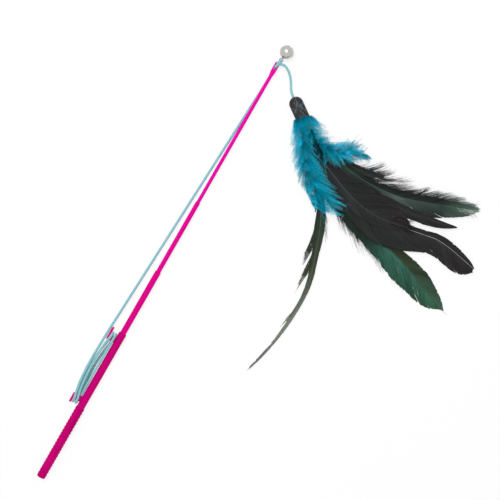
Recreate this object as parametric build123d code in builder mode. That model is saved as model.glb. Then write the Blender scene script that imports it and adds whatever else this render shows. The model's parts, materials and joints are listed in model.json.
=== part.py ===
from build123d import *
import math
import os

# A telescopic cat teaser wand, lying flat with its cord stowed on two hooks.
# Millimetres. The origin is the centre of the butt's end face, +X runs along the wand to its tip,
# +Y points to the hooks, +Z is up, and the surface that the wand lies on is one grip radius below.

# Grip and handle
grip_length = 86.0
grip_crest_d = 10.0
grip_valley_d = 9.3
grip_rib_count = 21
grip_land_share = 0.34
grip_flank_share = 0.2
grip_seat_d = 8.2
grip_seat_gap = 0.02
handle_length = 182.0
handle_d = 8.7
handle_bore = 7.3
butt_flange_d = 9.5
butt_flange = 2.0
butt_round = 0.7
butt_spigot = 6.0
butt_spigot_gap = 0.02

# Inner stages: outer diameter, bore, whole length and the length that shows
stage_2_d = 6.7
stage_2_bore = 5.7
stage_2_length = 178.0
stage_2_shown = 78.0
stage_3_d = 5.2
stage_3_bore = 4.4
stage_3_length = 181.0
stage_3_shown = 88.0
rod_d = 4.0
rod_length = 195.0
rod_shown = 178.0

# Sliding fits
neck_length = 6.0
neck_gap = 0.06
mouth_chamfer = 0.45
bush_length = 8.0
bush_setback = 1.0
bush_groove = 0.15
bush_gap = 0.03
bush_seat_gap = 0.02
bush_split = 1.0

# Eye in the flattened end of the tip rod
paddle_length = 18.0
paddle_taper = 6.0
paddle_w = 5.6
paddle_thick = 3.0
eye_w = 3.1
eye_length = 6.0
eye_wall = 3.5

# Hooks on the handle's side
hook_thick = 3.0
hook_post_w = 6.5
hook_round = 1.0
hook_bond_gap = 0.05
lower_post_gap = 5.0
lower_horn = 5.0
lower_horn_y = 12.2
lower_horn_w = 2.6
upper_post_back = 7.6
upper_horn = 8.6
upper_horn_y = 11.1
upper_horn_w = 2.4

# Cord
cord_d = 2.8
cord_trim_share = 0.45
gap_step = 1.5
# Runs of the winding, as points of its centre line; half turns round the hooks join them
winding_runs = [
    [(99.55, 5.95, 0.0), (108.0, 5.96, 0.0), (122.0, 7.4, 3.2), (150.0, 6.8, 3.2), (174.0, 5.95, 3.2)],
    [(174.0, 6.05, -3.2), (134.0, 9.6, -3.2), (93.5, 7.05, -3.2)],
    [(93.5, 7.15, 3.2), (110.0, 10.7, 3.2), (136.0, 12.6, 3.2), (158.0, 12.6, 3.2), (174.0, 9.65, 3.2)],
    [(174.0, 9.65, -3.2), (134.0, 14.0, -3.2), (93.5, 10.5, -3.2)],
    [(93.5, 10.6, 3.2), (110.0, 14.4, 3.2), (136.0, 16.3, 2.4), (170.0, 15.67, 0.063), (187.0, 14.91, -0.114)],
]
# The taut run goes straight on to the underside of the tip, and is parted at these shares of it
run_split_shares = [0, 0.2315, 0.493, 1]
# In the points from here on, X is counted from the tip's end. Up through the eye and into the knot
eye_route = [(-13.5, 0.407, -3.5), (-6.6, 0.1, -3.55), (-6.4, 0.0, 3.4), (-3.0, -1.2, 4.8)]
eye_route_bend = 2.9
knot_point = (-3.3, -1.2, 5.0)
knot_d = 5.6
loop_points = [(-3.0, -1.8, 7.3), (0.2, -1.8, 7.3), (0.2, -1.8, 3.1), (-3.0, -1.8, 3.1)]
# The free stretch from the knot to the cap
dangle_route = [
    (-1.3, -4.0, 4.9),
    (-0.8, -8.3, 4.4),
    (-2.6, -13.3, 3.0),
    (-6.8, -18.4, 2.0),
    (-13.8, -23.7, 2.0),
    (-22.3, -28.36, 2.6),
    (-25.55, -32.9, 2.85),
]

# Bell, tied into the cord's loop
bell_d = 16.0
bell_bead = 0.3
bell_bead_w = 1.2
bell_wall = 0.5
bell_slot_w = 1.3
bell_slot_hole_d = 2.4
bell_slot_reach_deg = 46.0
bell_ball_d = 4.8
bell_ball_gap = 0.3
bell_yaw_offset = 0.9
bell_distance = 11.2
shank_ring_r = 2.1
shank_wire_d = 0.9
shank_stem_d = 1.4
shank_head_d = 3.0
shank_head = 0.6
shank_gap = 0.05

# Lure cap, lying on the surface
cap_apex_back = 26.0
cap_apex_y = -33.5
cap_turn_deg = 234.35
cap_d = 15.7
cap_length = 26.0
cap_wall = 0.95
cap_hole_d = 3.1
stop_knot_d = 5.2
stop_knot_setback = 1.3
cap_neck_out = 0.3
binding_length = 7.2
binding_gap = 0.15
quill_seat = 10.8

# Feathers: how far each reaches past the cap's mouth, and its greatest width
under_left_reach = 98.0
under_left_w = 30.0
under_right_reach = 84.0
under_right_w = 20.0
olive_thin_reach = 226.0
olive_thin_w = 11.0
green_broad_reach = 254.0
green_broad_w = 33.0
green_tipped_reach = 172.0
green_tipped_w = 30.0
dark_upper_reach = 112.0
dark_upper_w = 24.0
black_short_reach = 179.0
black_short_w = 13.0
black_long_reach = 227.0
black_long_w = 25.0
black_broad_reach = 155.0
black_broad_w = 40.0
plume_right_reach = 67.0
plume_right_w = 21.0
plume_left_reach = 121.0
plume_left_w = 34.0
plume_top_reach = 50.0
plume_top_w = 22.0
# They lie in layers, which are squeezed together inside the cap and sink towards the tips
coque_thick = 0.6
marabou_thick = 1.8
layer_gap = 0.5
first_layer_gap = 0.6
layer_squeeze_share = 0.62
layer_lift = 1.6
layer_free_at = 30.0
layer_far_at = 240.0
layer_far_share = 0.42
quill_w = 1.5
feather_flare = 16.0
feather_sections = 15
spine_step_share = 0.01

cut_overrun = 1.0

floor_z = -grip_crest_d / 2
lower_post_x = butt_flange + grip_length + lower_post_gap
lower_horn_x = lower_post_x - lower_horn
upper_post_x = handle_length - upper_post_back
upper_horn_x = upper_post_x + upper_horn
stage_2_mouth = handle_length + stage_2_shown
stage_3_mouth = stage_2_mouth + stage_3_shown
tip_end = stage_3_mouth + rod_shown


def save(part, name):
    part.part.label = name
    export_step(part.part, f"parts/{name}.step")


def from_tip(points):
    return [Vector(tip_end + x, y, z) for x, y, z in points]


def stage_outline(foot, mouth, outer_d, bore_d, inner_d):
    # Half section of a stage tube: bush groove at the foot, neck for the next stage at the mouth
    outer = outer_d / 2
    groove = outer - bush_groove
    start = foot + bush_setback
    end = start + bush_length
    neck = inner_d / 2 + neck_gap
    return [
        (foot, bore_d / 2),
        (foot, outer),
        (start, outer),
        (start, groove),
        (end, groove),
        (end, outer),
        (mouth - mouth_chamfer, outer),
        (mouth, outer - mouth_chamfer),
        (mouth, neck),
        (mouth - neck_length, neck),
        (mouth - neck_length, bore_d / 2),
    ]


def bush(foot, groove_of_d, bore_d):
    # Split friction ring, seated in the groove at a stage's foot
    start = foot + bush_setback
    inner = groove_of_d / 2 - bush_groove + bush_seat_gap
    outer = bore_d / 2 - bush_gap
    with BuildPart() as ring:
        with BuildSketch(Plane.YZ.offset(start + bush_seat_gap)):
            Circle(outer)
            Circle(inner, mode=Mode.SUBTRACT)
            with Locations((0, outer)):
                Rectangle(bush_split, outer, mode=Mode.SUBTRACT)
        extrude(amount=bush_length - 2 * bush_seat_gap)
    return ring


def biarc(start, start_dir, end, end_dir):
    # Two arcs that leave start along start_dir and reach end along end_dir
    span = end - start
    total = start_dir + end_dir
    turn = 2 * (1 - start_dir.dot(end_dir))
    reach = (math.sqrt(span.dot(total) ** 2 + turn * span.dot(span)) - span.dot(total)) / turn
    start_corner = start + start_dir * reach
    end_corner = end - end_dir * reach
    middle = (start_corner + end_corner) / 2
    TangentArc(start, middle, tangent=start_dir)
    TangentArc(middle, end, tangent=end_corner - start_corner)


def lay_run(points, bend=None):
    # Straight runs joined by tangent arcs, as large as the runs allow unless a bend is given
    here = points[0]
    radii = []
    for before, corner, after in zip(points, points[1:], points[2:]):
        way_in = (corner - before).normalized()
        way_out = (after - corner).normalized()
        half_turn = math.radians(way_in.get_angle(way_out)) / 2
        shorter = min((corner - before).length, (after - corner).length)
        trim = bend * math.tan(half_turn) if bend else cord_trim_share * shorter
        radii.append(round(trim / math.tan(half_turn), 1))
        Line(here, corner - way_in * trim)
        TangentArc(corner - way_in * trim, corner + way_out * trim, tangent=way_in)
        here = corner + way_out * trim
    Line(here, points[-1])
    return radii


def cord_tube(points, bend=None):
    with BuildPart() as tube:
        with BuildLine() as path:
            radii = lay_run(points, bend)
        with BuildSketch(Plane(origin=points[0], z_dir=points[1] - points[0])):
            Circle(cord_d / 2)
        sweep()
    return tube, path, radii


os.makedirs("parts", exist_ok=True)

# Butt plug
with BuildPart() as butt_plug:
    with BuildSketch(Plane.YZ):
        Circle(butt_flange_d / 2)
    extrude(amount=butt_flange)
    fillet(butt_plug.edges().group_by(Axis.X)[0], butt_round)
    with BuildSketch(Plane.YZ.offset(butt_flange)):
        Circle(handle_bore / 2 - butt_spigot_gap)
    extrude(amount=butt_spigot)
save(butt_plug, "butt_plug")

# Handle tube, thinner under the grip
with BuildPart() as handle_tube:
    with BuildSketch(Plane.XY):
        with BuildLine():
            neck_r = stage_2_d / 2 + neck_gap
            Polyline(
                (butt_flange, handle_bore / 2),
                (butt_flange, grip_seat_d / 2),
                (butt_flange + grip_length, grip_seat_d / 2),
                (butt_flange + grip_length, handle_d / 2),
                (handle_length - mouth_chamfer, handle_d / 2),
                (handle_length, handle_d / 2 - mouth_chamfer),
                (handle_length, neck_r),
                (handle_length - neck_length, neck_r),
                (handle_length - neck_length, handle_bore / 2),
                close=True,
            )
        make_face()
    revolve(axis=Axis.X)
save(handle_tube, "handle_tube")

# Grip sleeve: ribs with flat crests
with BuildPart() as grip_sleeve:
    with BuildSketch(Plane.XY):
        with BuildLine():
            pitch = grip_length / grip_rib_count
            outline = [(butt_flange, grip_seat_d / 2 + grip_seat_gap), (butt_flange, grip_valley_d / 2)]
            for rib in range(grip_rib_count):
                middle = butt_flange + (rib + 0.5) * pitch
                half_land = grip_land_share * pitch / 2
                flank = grip_flank_share * pitch
                outline.append((middle - half_land - flank, grip_valley_d / 2))
                outline.append((middle - half_land, grip_crest_d / 2))
                outline.append((middle + half_land, grip_crest_d / 2))
                outline.append((middle + half_land + flank, grip_valley_d / 2))
            outline.append((butt_flange + grip_length, grip_valley_d / 2))
            outline.append((butt_flange + grip_length, grip_seat_d / 2 + grip_seat_gap))
            Polyline(*outline, close=True)
        make_face()
    revolve(axis=Axis.X)
save(grip_sleeve, "grip_sleeve")

# Lower hook: post, which the cord's end is fixed to, and horn towards the butt
with BuildPart() as lower_hook:
    with BuildSketch(Plane.XY.offset(-hook_thick / 2)):
        with BuildLine():
            horn_top = lower_horn_y + lower_horn_w
            Polyline(
                (lower_post_x, 0),
                (lower_post_x, lower_horn_y),
                (lower_horn_x, lower_horn_y),
                (lower_horn_x, horn_top),
                (lower_post_x + hook_post_w, horn_top),
                (lower_post_x + hook_post_w, 0),
                close=True,
            )
        face = make_face()
        corners = face.vertices().filter_by_position(Axis.Y, lower_horn_y, horn_top)
        fillet(corners, hook_round)
    extrude(amount=hook_thick)
    with BuildSketch(Plane.YZ.offset(lower_post_x - cut_overrun)):
        Circle(handle_d / 2 + hook_bond_gap)
    extrude(amount=hook_post_w + 2 * cut_overrun, mode=Mode.SUBTRACT)
save(lower_hook, "lower_hook")

# Upper hook: post and horn towards the tip
with BuildPart() as upper_hook:
    with BuildSketch(Plane.XY.offset(-hook_thick / 2)):
        with BuildLine():
            horn_top = upper_horn_y + upper_horn_w
            Polyline(
                (upper_post_x, 0),
                (upper_post_x, upper_horn_y),
                (upper_horn_x, upper_horn_y),
                (upper_horn_x, horn_top),
                (upper_post_x - hook_post_w, horn_top),
                (upper_post_x - hook_post_w, 0),
                close=True,
            )
        face = make_face()
        corners = face.vertices().filter_by_position(Axis.Y, upper_horn_y, horn_top)
        fillet(corners, hook_round)
    extrude(amount=hook_thick)
    with BuildSketch(Plane.YZ.offset(upper_post_x - hook_post_w - cut_overrun)):
        Circle(handle_d / 2 + hook_bond_gap)
    extrude(amount=hook_post_w + 2 * cut_overrun, mode=Mode.SUBTRACT)
save(upper_hook, "upper_hook")

# Second and third stages with their friction bushes
stage_2_foot = stage_2_mouth - stage_2_length
with BuildPart() as stage_2_tube:
    with BuildSketch(Plane.XY):
        with BuildLine():
            outline = stage_outline(stage_2_foot, stage_2_mouth, stage_2_d, stage_2_bore, stage_3_d)
            Polyline(*outline, close=True)
        make_face()
    revolve(axis=Axis.X)
save(stage_2_tube, "stage_2_tube")
save(bush(stage_2_foot, stage_2_d, handle_bore), "stage_2_bush")

stage_3_foot = stage_3_mouth - stage_3_length
with BuildPart() as stage_3_tube:
    with BuildSketch(Plane.XY):
        with BuildLine():
            outline = stage_outline(stage_3_foot, stage_3_mouth, stage_3_d, stage_3_bore, rod_d)
            Polyline(*outline, close=True)
        make_face()
    revolve(axis=Axis.X)
save(stage_3_tube, "stage_3_tube")
save(bush(stage_3_foot, stage_3_d, stage_2_bore), "stage_3_bush")

# Tip rod with its flattened end and eye
rod_foot = tip_end - rod_length
paddle_start = tip_end - paddle_length
with BuildPart() as tip_rod:
    with BuildSketch(Plane.XY):
        with BuildLine():
            groove_start = rod_foot + bush_setback
            Polyline(
                (rod_foot, 0),
                (rod_foot, rod_d / 2),
                (groove_start, rod_d / 2),
                (groove_start, rod_d / 2 - bush_groove),
                (groove_start + bush_length, rod_d / 2 - bush_groove),
                (groove_start + bush_length, rod_d / 2),
                (paddle_start + paddle_taper, rod_d / 2),
                (paddle_start + paddle_taper, 0),
                close=True,
            )
        make_face()
    revolve(axis=Axis.X)
    with BuildSketch(Plane.XY.offset(-paddle_thick / 2)):
        with BuildLine():
            end_arc_x = tip_end - paddle_w / 2
            half_w = paddle_w / 2
            Polyline(
                (end_arc_x, half_w),
                (paddle_start + paddle_taper, half_w),
                (paddle_start, rod_d / 2),
                (paddle_start, -rod_d / 2),
                (paddle_start + paddle_taper, -half_w),
                (end_arc_x, -half_w),
            )
            ThreePointArc((end_arc_x, -half_w), (tip_end, 0), (end_arc_x, half_w))
        make_face()
        with Locations((tip_end - eye_wall - eye_length / 2, 0)):
            SlotOverall(eye_length, eye_w, mode=Mode.SUBTRACT)
    extrude(amount=paddle_thick)
save(tip_rod, "tip_rod")
save(bush(rod_foot, rod_d, stage_3_bore), "tip_bush")

# Cord wound on the hooks: one unbroken tube
runs = [[Vector(*point) for point in run] for run in winding_runs]
with BuildPart() as cord_winding:
    with BuildLine() as winding_path:
        lay_run(runs[0])
        for run, after in zip(runs, runs[1:]):
            biarc(run[-1], (run[-1] - run[-2]).normalized(), after[0], (after[1] - after[0]).normalized())
            lay_run(after)
    with BuildSketch(Plane(origin=runs[0][0], z_dir=runs[0][1] - runs[0][0])):
        Circle(cord_d / 2)
    sweep()
save(cord_winding, "cord_winding")

# Least gap of the winding to itself, on points a cord's width apart
winding_wire = winding_path.wires()[0]
steps = int(winding_wire.length / gap_step)
samples = [winding_wire @ (step / steps) for step in range(steps + 1)]
apart = int(math.pi * cord_d / gap_step)
gaps = [
    (one - other).length - cord_d
    for index, one in enumerate(samples)
    for other in samples[index + apart:]
]
section = math.pi * cord_d**2 / 4
print(f"winding {winding_wire.length:.0f} mm long, least gap to itself {min(gaps):.2f} mm")
print(f"winding volume over section times length {cord_winding.part.volume / section / winding_wire.length:.3f}")

# Taut run, one stretch for each slide that it crosses
run_start = runs[-1][-1]
run_end = from_tip(eye_route)[0]
run_points = [run_start + (run_end - run_start) * share for share in run_split_shares]
for name, start, end in zip(("lower", "middle", "upper"), run_points, run_points[1:]):
    stretch, path, radii = cord_tube([start, end])
    save(stretch, f"cord_run_{name}")

# Cord up through the eye, the loop that holds the bell, and the knot that joins them
eye_lead, path, radii = cord_tube(from_tip(eye_route), eye_route_bend)
loop = from_tip(loop_points)
with BuildPart() as bell_loop:
    with BuildLine():
        Line(loop[0], loop[1])
        biarc(loop[1], (loop[1] - loop[0]).normalized(), loop[2], (loop[3] - loop[2]).normalized())
        Line(loop[2], loop[3])
    with BuildSketch(Plane(origin=loop[0], z_dir=loop[1] - loop[0])):
        Circle(cord_d / 2)
    sweep()
with BuildPart() as cord_knot:
    with Locations(from_tip([knot_point])[0]):
        Sphere(knot_d / 2, rotation=(90, 0, 0))
    add(eye_lead.part)
    add(bell_loop.part)
save(cord_knot, "cord_knot")

# Free stretch to the lure
cord_dangle, path, radii = cord_tube(from_tip(dangle_route))
dangle_length = path.wires()[0].length
print(f"free stretch {dangle_length:.1f} mm, radii {radii}")
print(f"free stretch volume over section times length {cord_dangle.part.volume / section / dangle_length:.3f}")
save(cord_dangle, "cord_dangle")

# Bell: its axis runs from the cord's loop down to the bell's centre
bell_r = bell_d / 2
cup_r = bell_r - bell_bead
loop_r = (loop[1] - loop[2]).length / 2
ring_centre = (loop[1] + loop[2]) / 2 + Vector(loop_r, 0, 0)
bell_drop = ring_centre.Z - (floor_z + bell_r)
bell_forward = math.sqrt(bell_distance**2 - bell_drop**2 - bell_yaw_offset**2)
bell_centre = ring_centre + Vector(bell_forward, -bell_yaw_offset, -bell_drop)
bell_axis = (bell_centre - ring_centre).normalized()
bell_across = Vector(0, 0, 1).cross(bell_axis).normalized()
bell_plane = Plane(origin=bell_centre, x_dir=bell_axis, z_dir=bell_axis.cross(bell_across))
turn_axis = Axis(bell_centre, bell_axis)


def polar(radius, degrees):
    return (radius * math.cos(math.radians(degrees)), radius * math.sin(math.radians(degrees)))


inner_r = cup_r - bell_wall
hole_deg = math.degrees(math.asin((shank_stem_d / 2 + shank_gap) / cup_r))
half_bead_deg = math.degrees(math.asin(bell_bead_w / 2 / cup_r))
with BuildPart() as bell_cup_upper:
    with BuildSketch(bell_plane):
        with BuildLine():
            ThreePointArc(polar(cup_r, 180 - hole_deg), polar(cup_r, 135), polar(cup_r, 90 + half_bead_deg))
            Polyline(
                polar(cup_r, 90 + half_bead_deg),
                (-bell_bead_w / 2, bell_r),
                (0, bell_r),
                (0, inner_r),
            )
            ThreePointArc((0, inner_r), polar(inner_r, 135), polar(inner_r, 180 - hole_deg))
            Line(polar(inner_r, 180 - hole_deg), polar(cup_r, 180 - hole_deg))
        make_face()
    revolve(axis=turn_axis)
save(bell_cup_upper, "bell_cup_upper")

# Lower cup with the crossed sound slots
with BuildPart() as bell_cup_lower:
    with BuildSketch(bell_plane):
        with BuildLine():
            ThreePointArc((cup_r, 0), polar(cup_r, 45), polar(cup_r, 90 - half_bead_deg))
            Polyline(
                polar(cup_r, 90 - half_bead_deg),
                (bell_bead_w / 2, bell_r),
                (0, bell_r),
                (0, inner_r),
            )
            ThreePointArc((0, inner_r), polar(inner_r, 45), (inner_r, 0))
            Line((inner_r, 0), (cup_r, 0))
        make_face()
    revolve(axis=turn_axis)
    slot_half = cup_r * math.sin(math.radians(bell_slot_reach_deg))
    mouth_plane = Plane(origin=bell_centre, x_dir=bell_plane.y_dir, z_dir=bell_axis)
    with BuildSketch(mouth_plane):
        Rectangle(2 * slot_half, bell_slot_w)
        Rectangle(bell_slot_w, 2 * slot_half)
        with PolarLocations(slot_half, 4):
            Circle(bell_slot_hole_d / 2)
    extrude(amount=bell_d, mode=Mode.SUBTRACT)
save(bell_cup_lower, "bell_cup_lower")

# Wire shank: a flat ring round the cord's loop, a stem through the upper cup and a head inside it
with BuildPart() as bell_shank:
    with BuildSketch(Plane(origin=ring_centre, x_dir=(1, 0, 0), z_dir=(0, -1, 0))):
        with Locations((shank_ring_r, 0)):
            Circle(shank_wire_d / 2)
    revolve(axis=Axis(ring_centre, (0, 0, 1)))
    with BuildSketch(Plane(origin=ring_centre + bell_axis * shank_ring_r, z_dir=bell_axis)):
        Circle(shank_stem_d / 2)
    head_at = bell_distance - math.sqrt(inner_r**2 - shank_head_d**2 / 4) + shank_gap
    extrude(amount=head_at - shank_ring_r)
    with BuildSketch(Plane(origin=ring_centre + bell_axis * head_at, z_dir=bell_axis)):
        Circle(shank_head_d / 2)
    extrude(amount=shank_head)
save(bell_shank, "bell_shank")

with BuildPart() as bell_ball:
    with Locations(bell_centre - Vector(0, 0, inner_r - bell_ball_d / 2 - bell_ball_gap)):
        Sphere(bell_ball_d / 2)
save(bell_ball, "bell_ball")

# Lure: u runs from the cap's apex to its mouth and on along the feathers, v across, in the lying plane
lure_u = Vector(math.cos(math.radians(cap_turn_deg)), math.sin(math.radians(cap_turn_deg)), 0)
cap_apex = Vector(tip_end - cap_apex_back, cap_apex_y, floor_z + cap_d / 2)
cap_mouth = cap_apex + lure_u * cap_length
lure_plane = Plane(origin=cap_mouth, x_dir=lure_u, z_dir=(0, 0, 1))
lure_axis = Axis(cap_mouth, lure_u)
cap_r = cap_d / 2
cap_bore_r = cap_r - cap_wall

with BuildPart() as lure_cap:
    with BuildSketch(lure_plane):
        with BuildLine():
            dome = -cap_length + cap_r
            hole = cap_hole_d / 2
            outer_start = dome - math.sqrt(cap_r**2 - hole**2)
            inner_start = dome - math.sqrt(cap_bore_r**2 - hole**2)
            bend = math.sqrt(0.5)
            ThreePointArc((outer_start, hole), (dome - bend * cap_r, bend * cap_r), (dome, cap_r))
            Polyline((dome, cap_r), (0, cap_r), (0, cap_bore_r), (dome, cap_bore_r))
            ThreePointArc(
                (dome, cap_bore_r), (dome - bend * cap_bore_r, bend * cap_bore_r), (inner_start, hole)
            )
            Line((inner_start, hole), (outer_start, hole))
        make_face()
    revolve(axis=lure_axis)
save(lure_cap, "lure_cap")

# Stop knot inside the cap, with the cord's neck through the hole
neck_top = cap_apex - lure_u * cap_neck_out
with BuildPart() as cap_knot:
    with BuildSketch(Plane(origin=neck_top, z_dir=lure_u)):
        Circle(cord_d / 2)
    stop_at = cap_wall + stop_knot_setback + stop_knot_d / 2
    extrude(amount=cap_neck_out + stop_at)
    with Locations(cap_apex + lure_u * stop_at):
        Sphere(stop_knot_d / 2)
save(cap_knot, "cap_knot")

with BuildPart() as quill_binding:
    with BuildSketch(Plane(origin=cap_mouth - lure_u * (quill_seat + binding_gap), z_dir=lure_u * -1)):
        Circle(cap_bore_r - binding_gap)
    extrude(amount=binding_length)
save(quill_binding, "quill_binding")


def ease(value, start, end):
    share = min(1, max(0, (value - start) / (end - start)))
    return share * share * (3 - 2 * share)


def layer_scale(u):
    opened = layer_squeeze_share + (1 - layer_squeeze_share) * ease(u, 0, layer_free_at)
    return opened * (1 - (1 - layer_far_share) * ease(u, layer_free_at, layer_far_at))


def spine_point(spine, share):
    rest = 1 - share
    weights = (rest**3, 3 * rest**2 * share, 3 * rest * share**2, share**3)
    return [sum(weight * point[axis] for weight, point in zip(weights, spine)) for axis in (0, 1)]


def width_at(stations, share):
    for (share_a, width_a), (share_b, width_b) in zip(stations, stations[1:]):
        if share <= share_b:
            return width_a + (width_b - width_a) * ease(share, share_a, share_b)
    return stations[-1][1]


def feather(reach, spine_shares, max_w, width_shares, layer, thick):
    # A thin curved blade: ridged sections along a spine, in its layer above the surface
    spine = [(-quill_seat, 0)] + [(reach * along, reach * across) for along, across in spine_shares]
    with BuildPart() as blade:
        for index in range(feather_sections):
            share = index / (feather_sections - 1)
            u, v = spine_point(spine, share)
            ahead = spine_point(spine, min(1, share + spine_step_share))
            behind = spine_point(spine, max(0, share - spine_step_share))
            way = (lure_u * (ahead[0] - behind[0]) + lure_plane.y_dir * (ahead[1] - behind[1])).normalized()
            scale = layer_scale(u)
            lift = layer_lift * (1 - ease(u, 0, layer_free_at))
            centre = cap_mouth + lure_u * u + lure_plane.y_dir * v
            centre = Vector(centre.X, centre.Y, floor_z + lift + layer * scale)
            half_w = max(quill_w, max_w * width_at(width_shares, share) * ease(u, 0, feather_flare)) / 2
            half_t = thick * scale / 2
            with BuildSketch(Plane(origin=centre, x_dir=Vector(0, 0, 1).cross(way), z_dir=way)):
                with BuildLine():
                    Polyline(*[(half_w * across, half_t * up) for across, up in blade_shares], close=True)
                make_face()
        loft(ruled=True)
    return blade


# A blade's section, as shares of its half width and half thickness
blade_shares = [(-1, 0), (-0.5, 0.75), (0, 1), (0.5, 0.75), (1, 0), (0.5, -0.75), (0, -1), (-0.5, -0.75)]
# Width along a feather, as shares of its length and of its greatest width
broad_shares = [(0, 0.02), (0.16, 0.05), (0.34, 0.6), (0.6, 1), (0.82, 0.9), (0.94, 0.5), (1, 0.04)]
blunt_shares = [(0, 0.02), (0.16, 0.06), (0.34, 0.7), (0.6, 1), (0.88, 0.95), (0.97, 0.7), (1, 0.3)]
pointed_shares = [(0, 0.04), (0.2, 0.1), (0.45, 0.8), (0.7, 1), (0.88, 0.6), (1, 0.05)]
thin_shares = [(0, 0.1), (0.2, 0.2), (0.42, 1), (0.6, 0.8), (0.76, 0.45), (0.9, 0.35), (1, 0.1)]
plume_shares = [(0, 0.04), (0.12, 0.12), (0.3, 0.85), (0.55, 1), (0.85, 0.75), (1, 0.15)]

# Each feather's curve past its quill's foot, along and across the lure, as shares of its reach
curve_shares = {
    "marabou_under_left": [(0.12, -0.01), (0.45, -0.3), (1, -0.3)],
    "marabou_under_right": [(0.25, -0.02), (0.55, 0.1), (1, 0.3)],
    "feather_olive_thin": [(0.4, -0.02), (0.82, -0.255), (1, -0.757)],
    "feather_green_broad": [(0.28, -0.055), (0.59, 0.04), (1, 0.203)],
    "feather_green_tipped": [(0.29, 0.012), (0.7, 0.175), (1, 0.783)],
    "feather_dark_upper": [(0.36, 0.036), (0.71, 0.22), (1, 0.629)],
    "feather_black_short": [(0.34, 0), (0.7, 0.196), (1, 0.586)],
    "feather_black_long": [(0.5, -0.11), (0.68, 0.22), (1, 0.43)],
    "feather_black_broad": [(0.32, -0.052), (0.645, 0.077), (1, 0.361)],
    "marabou_right": [(0.62, -0.03), (0.74, 0.2), (1, 0.745)],
    "marabou_left": [(0.1, -0.01), (0.33, -0.27), (1, -0.165)],
    "marabou_top": [(0.25, 0.02), (0.6, 0.04), (1, 0.06)],
}
# The stack from the surface up: each feather's reach, greatest width, width shares and thickness
stack = {
    "marabou_under_left": (under_left_reach, under_left_w, plume_shares, marabou_thick),
    "marabou_under_right": (under_right_reach, under_right_w, plume_shares, marabou_thick),
    "feather_olive_thin": (olive_thin_reach, olive_thin_w, thin_shares, coque_thick),
    "feather_green_broad": (green_broad_reach, green_broad_w, broad_shares, coque_thick),
    "feather_green_tipped": (green_tipped_reach, green_tipped_w, broad_shares, coque_thick),
    "feather_dark_upper": (dark_upper_reach, dark_upper_w, broad_shares, coque_thick),
    "feather_black_short": (black_short_reach, black_short_w, pointed_shares, coque_thick),
    "feather_black_long": (black_long_reach, black_long_w, blunt_shares, coque_thick),
    "feather_black_broad": (black_broad_reach, black_broad_w, blunt_shares, coque_thick),
    "marabou_right": (plume_right_reach, plume_right_w, plume_shares, marabou_thick),
    "marabou_left": (plume_left_reach, plume_left_w, plume_shares, marabou_thick),
    "marabou_top": (plume_top_reach, plume_top_w, plume_shares, marabou_thick),
}
top = first_layer_gap
for name, (reach, max_w, width_shares, thick) in stack.items():
    layer = top + layer_gap + thick / 2
    save(feather(reach, curve_shares[name], max_w, width_shares, layer, thick), name)
    top = layer + thick / 2
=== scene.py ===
import json
import math

import bpy
import numpy as np
from mathutils import Matrix, Vector

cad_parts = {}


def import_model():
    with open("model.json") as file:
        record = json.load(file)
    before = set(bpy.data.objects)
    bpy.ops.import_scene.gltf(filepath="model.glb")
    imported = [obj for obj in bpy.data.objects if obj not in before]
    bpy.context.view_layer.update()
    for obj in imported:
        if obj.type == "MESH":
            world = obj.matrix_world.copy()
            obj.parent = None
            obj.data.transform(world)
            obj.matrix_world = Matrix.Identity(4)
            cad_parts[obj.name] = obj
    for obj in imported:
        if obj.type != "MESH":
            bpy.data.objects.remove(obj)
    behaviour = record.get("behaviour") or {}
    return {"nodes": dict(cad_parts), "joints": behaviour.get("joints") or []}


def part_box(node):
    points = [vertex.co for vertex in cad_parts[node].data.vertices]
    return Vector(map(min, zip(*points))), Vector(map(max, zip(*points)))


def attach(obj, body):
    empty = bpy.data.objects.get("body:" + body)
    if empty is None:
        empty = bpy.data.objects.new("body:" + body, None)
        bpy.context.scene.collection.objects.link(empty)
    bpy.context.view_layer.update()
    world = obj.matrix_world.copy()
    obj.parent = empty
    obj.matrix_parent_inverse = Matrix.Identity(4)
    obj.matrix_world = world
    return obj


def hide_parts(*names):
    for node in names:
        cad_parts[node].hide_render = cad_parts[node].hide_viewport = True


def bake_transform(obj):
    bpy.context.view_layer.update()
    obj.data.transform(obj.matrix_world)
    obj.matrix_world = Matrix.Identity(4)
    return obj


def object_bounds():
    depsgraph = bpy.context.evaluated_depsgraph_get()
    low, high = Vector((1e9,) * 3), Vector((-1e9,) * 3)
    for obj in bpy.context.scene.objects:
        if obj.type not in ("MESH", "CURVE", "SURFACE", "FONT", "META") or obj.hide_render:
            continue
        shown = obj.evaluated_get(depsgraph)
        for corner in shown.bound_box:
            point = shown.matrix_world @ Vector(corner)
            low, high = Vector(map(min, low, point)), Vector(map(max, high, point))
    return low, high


# Looks of the telescopic cat teaser wand. Lengths are millimetres until a mesh is made, and metres for the
# floor and the lamps.

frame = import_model()
cad_low, cad_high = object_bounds()
nodes = frame["nodes"]
joints = {joint["name"]: joint for joint in frame["joints"]}
scene = bpy.context.scene
MM = 0.001
UP = np.array([0.0, 0.0, 1.0])
floor_z = cad_low.z / MM


# Helpers for numbers

def ease(value, start, end):
    share = np.clip((value - start) / (end - start), 0, 1)
    return share * share * (3 - 2 * share)


def unit(vectors):
    return vectors / np.maximum(np.linalg.norm(vectors, axis=-1, keepdims=True), 1e-9)


def srgb(red, green, blue, share=1.0):
    """A colour as it reads on screen, 0 to 255, times a share, as the linear colour that a shader takes."""
    channels = np.array([red, green, blue]) * share / 255
    linear = np.where(channels <= 0.04045, channels / 12.92, ((channels + 0.055) / 1.055) ** 2.4)
    return (*linear.tolist(), 1.0)


# Helpers for materials

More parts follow.
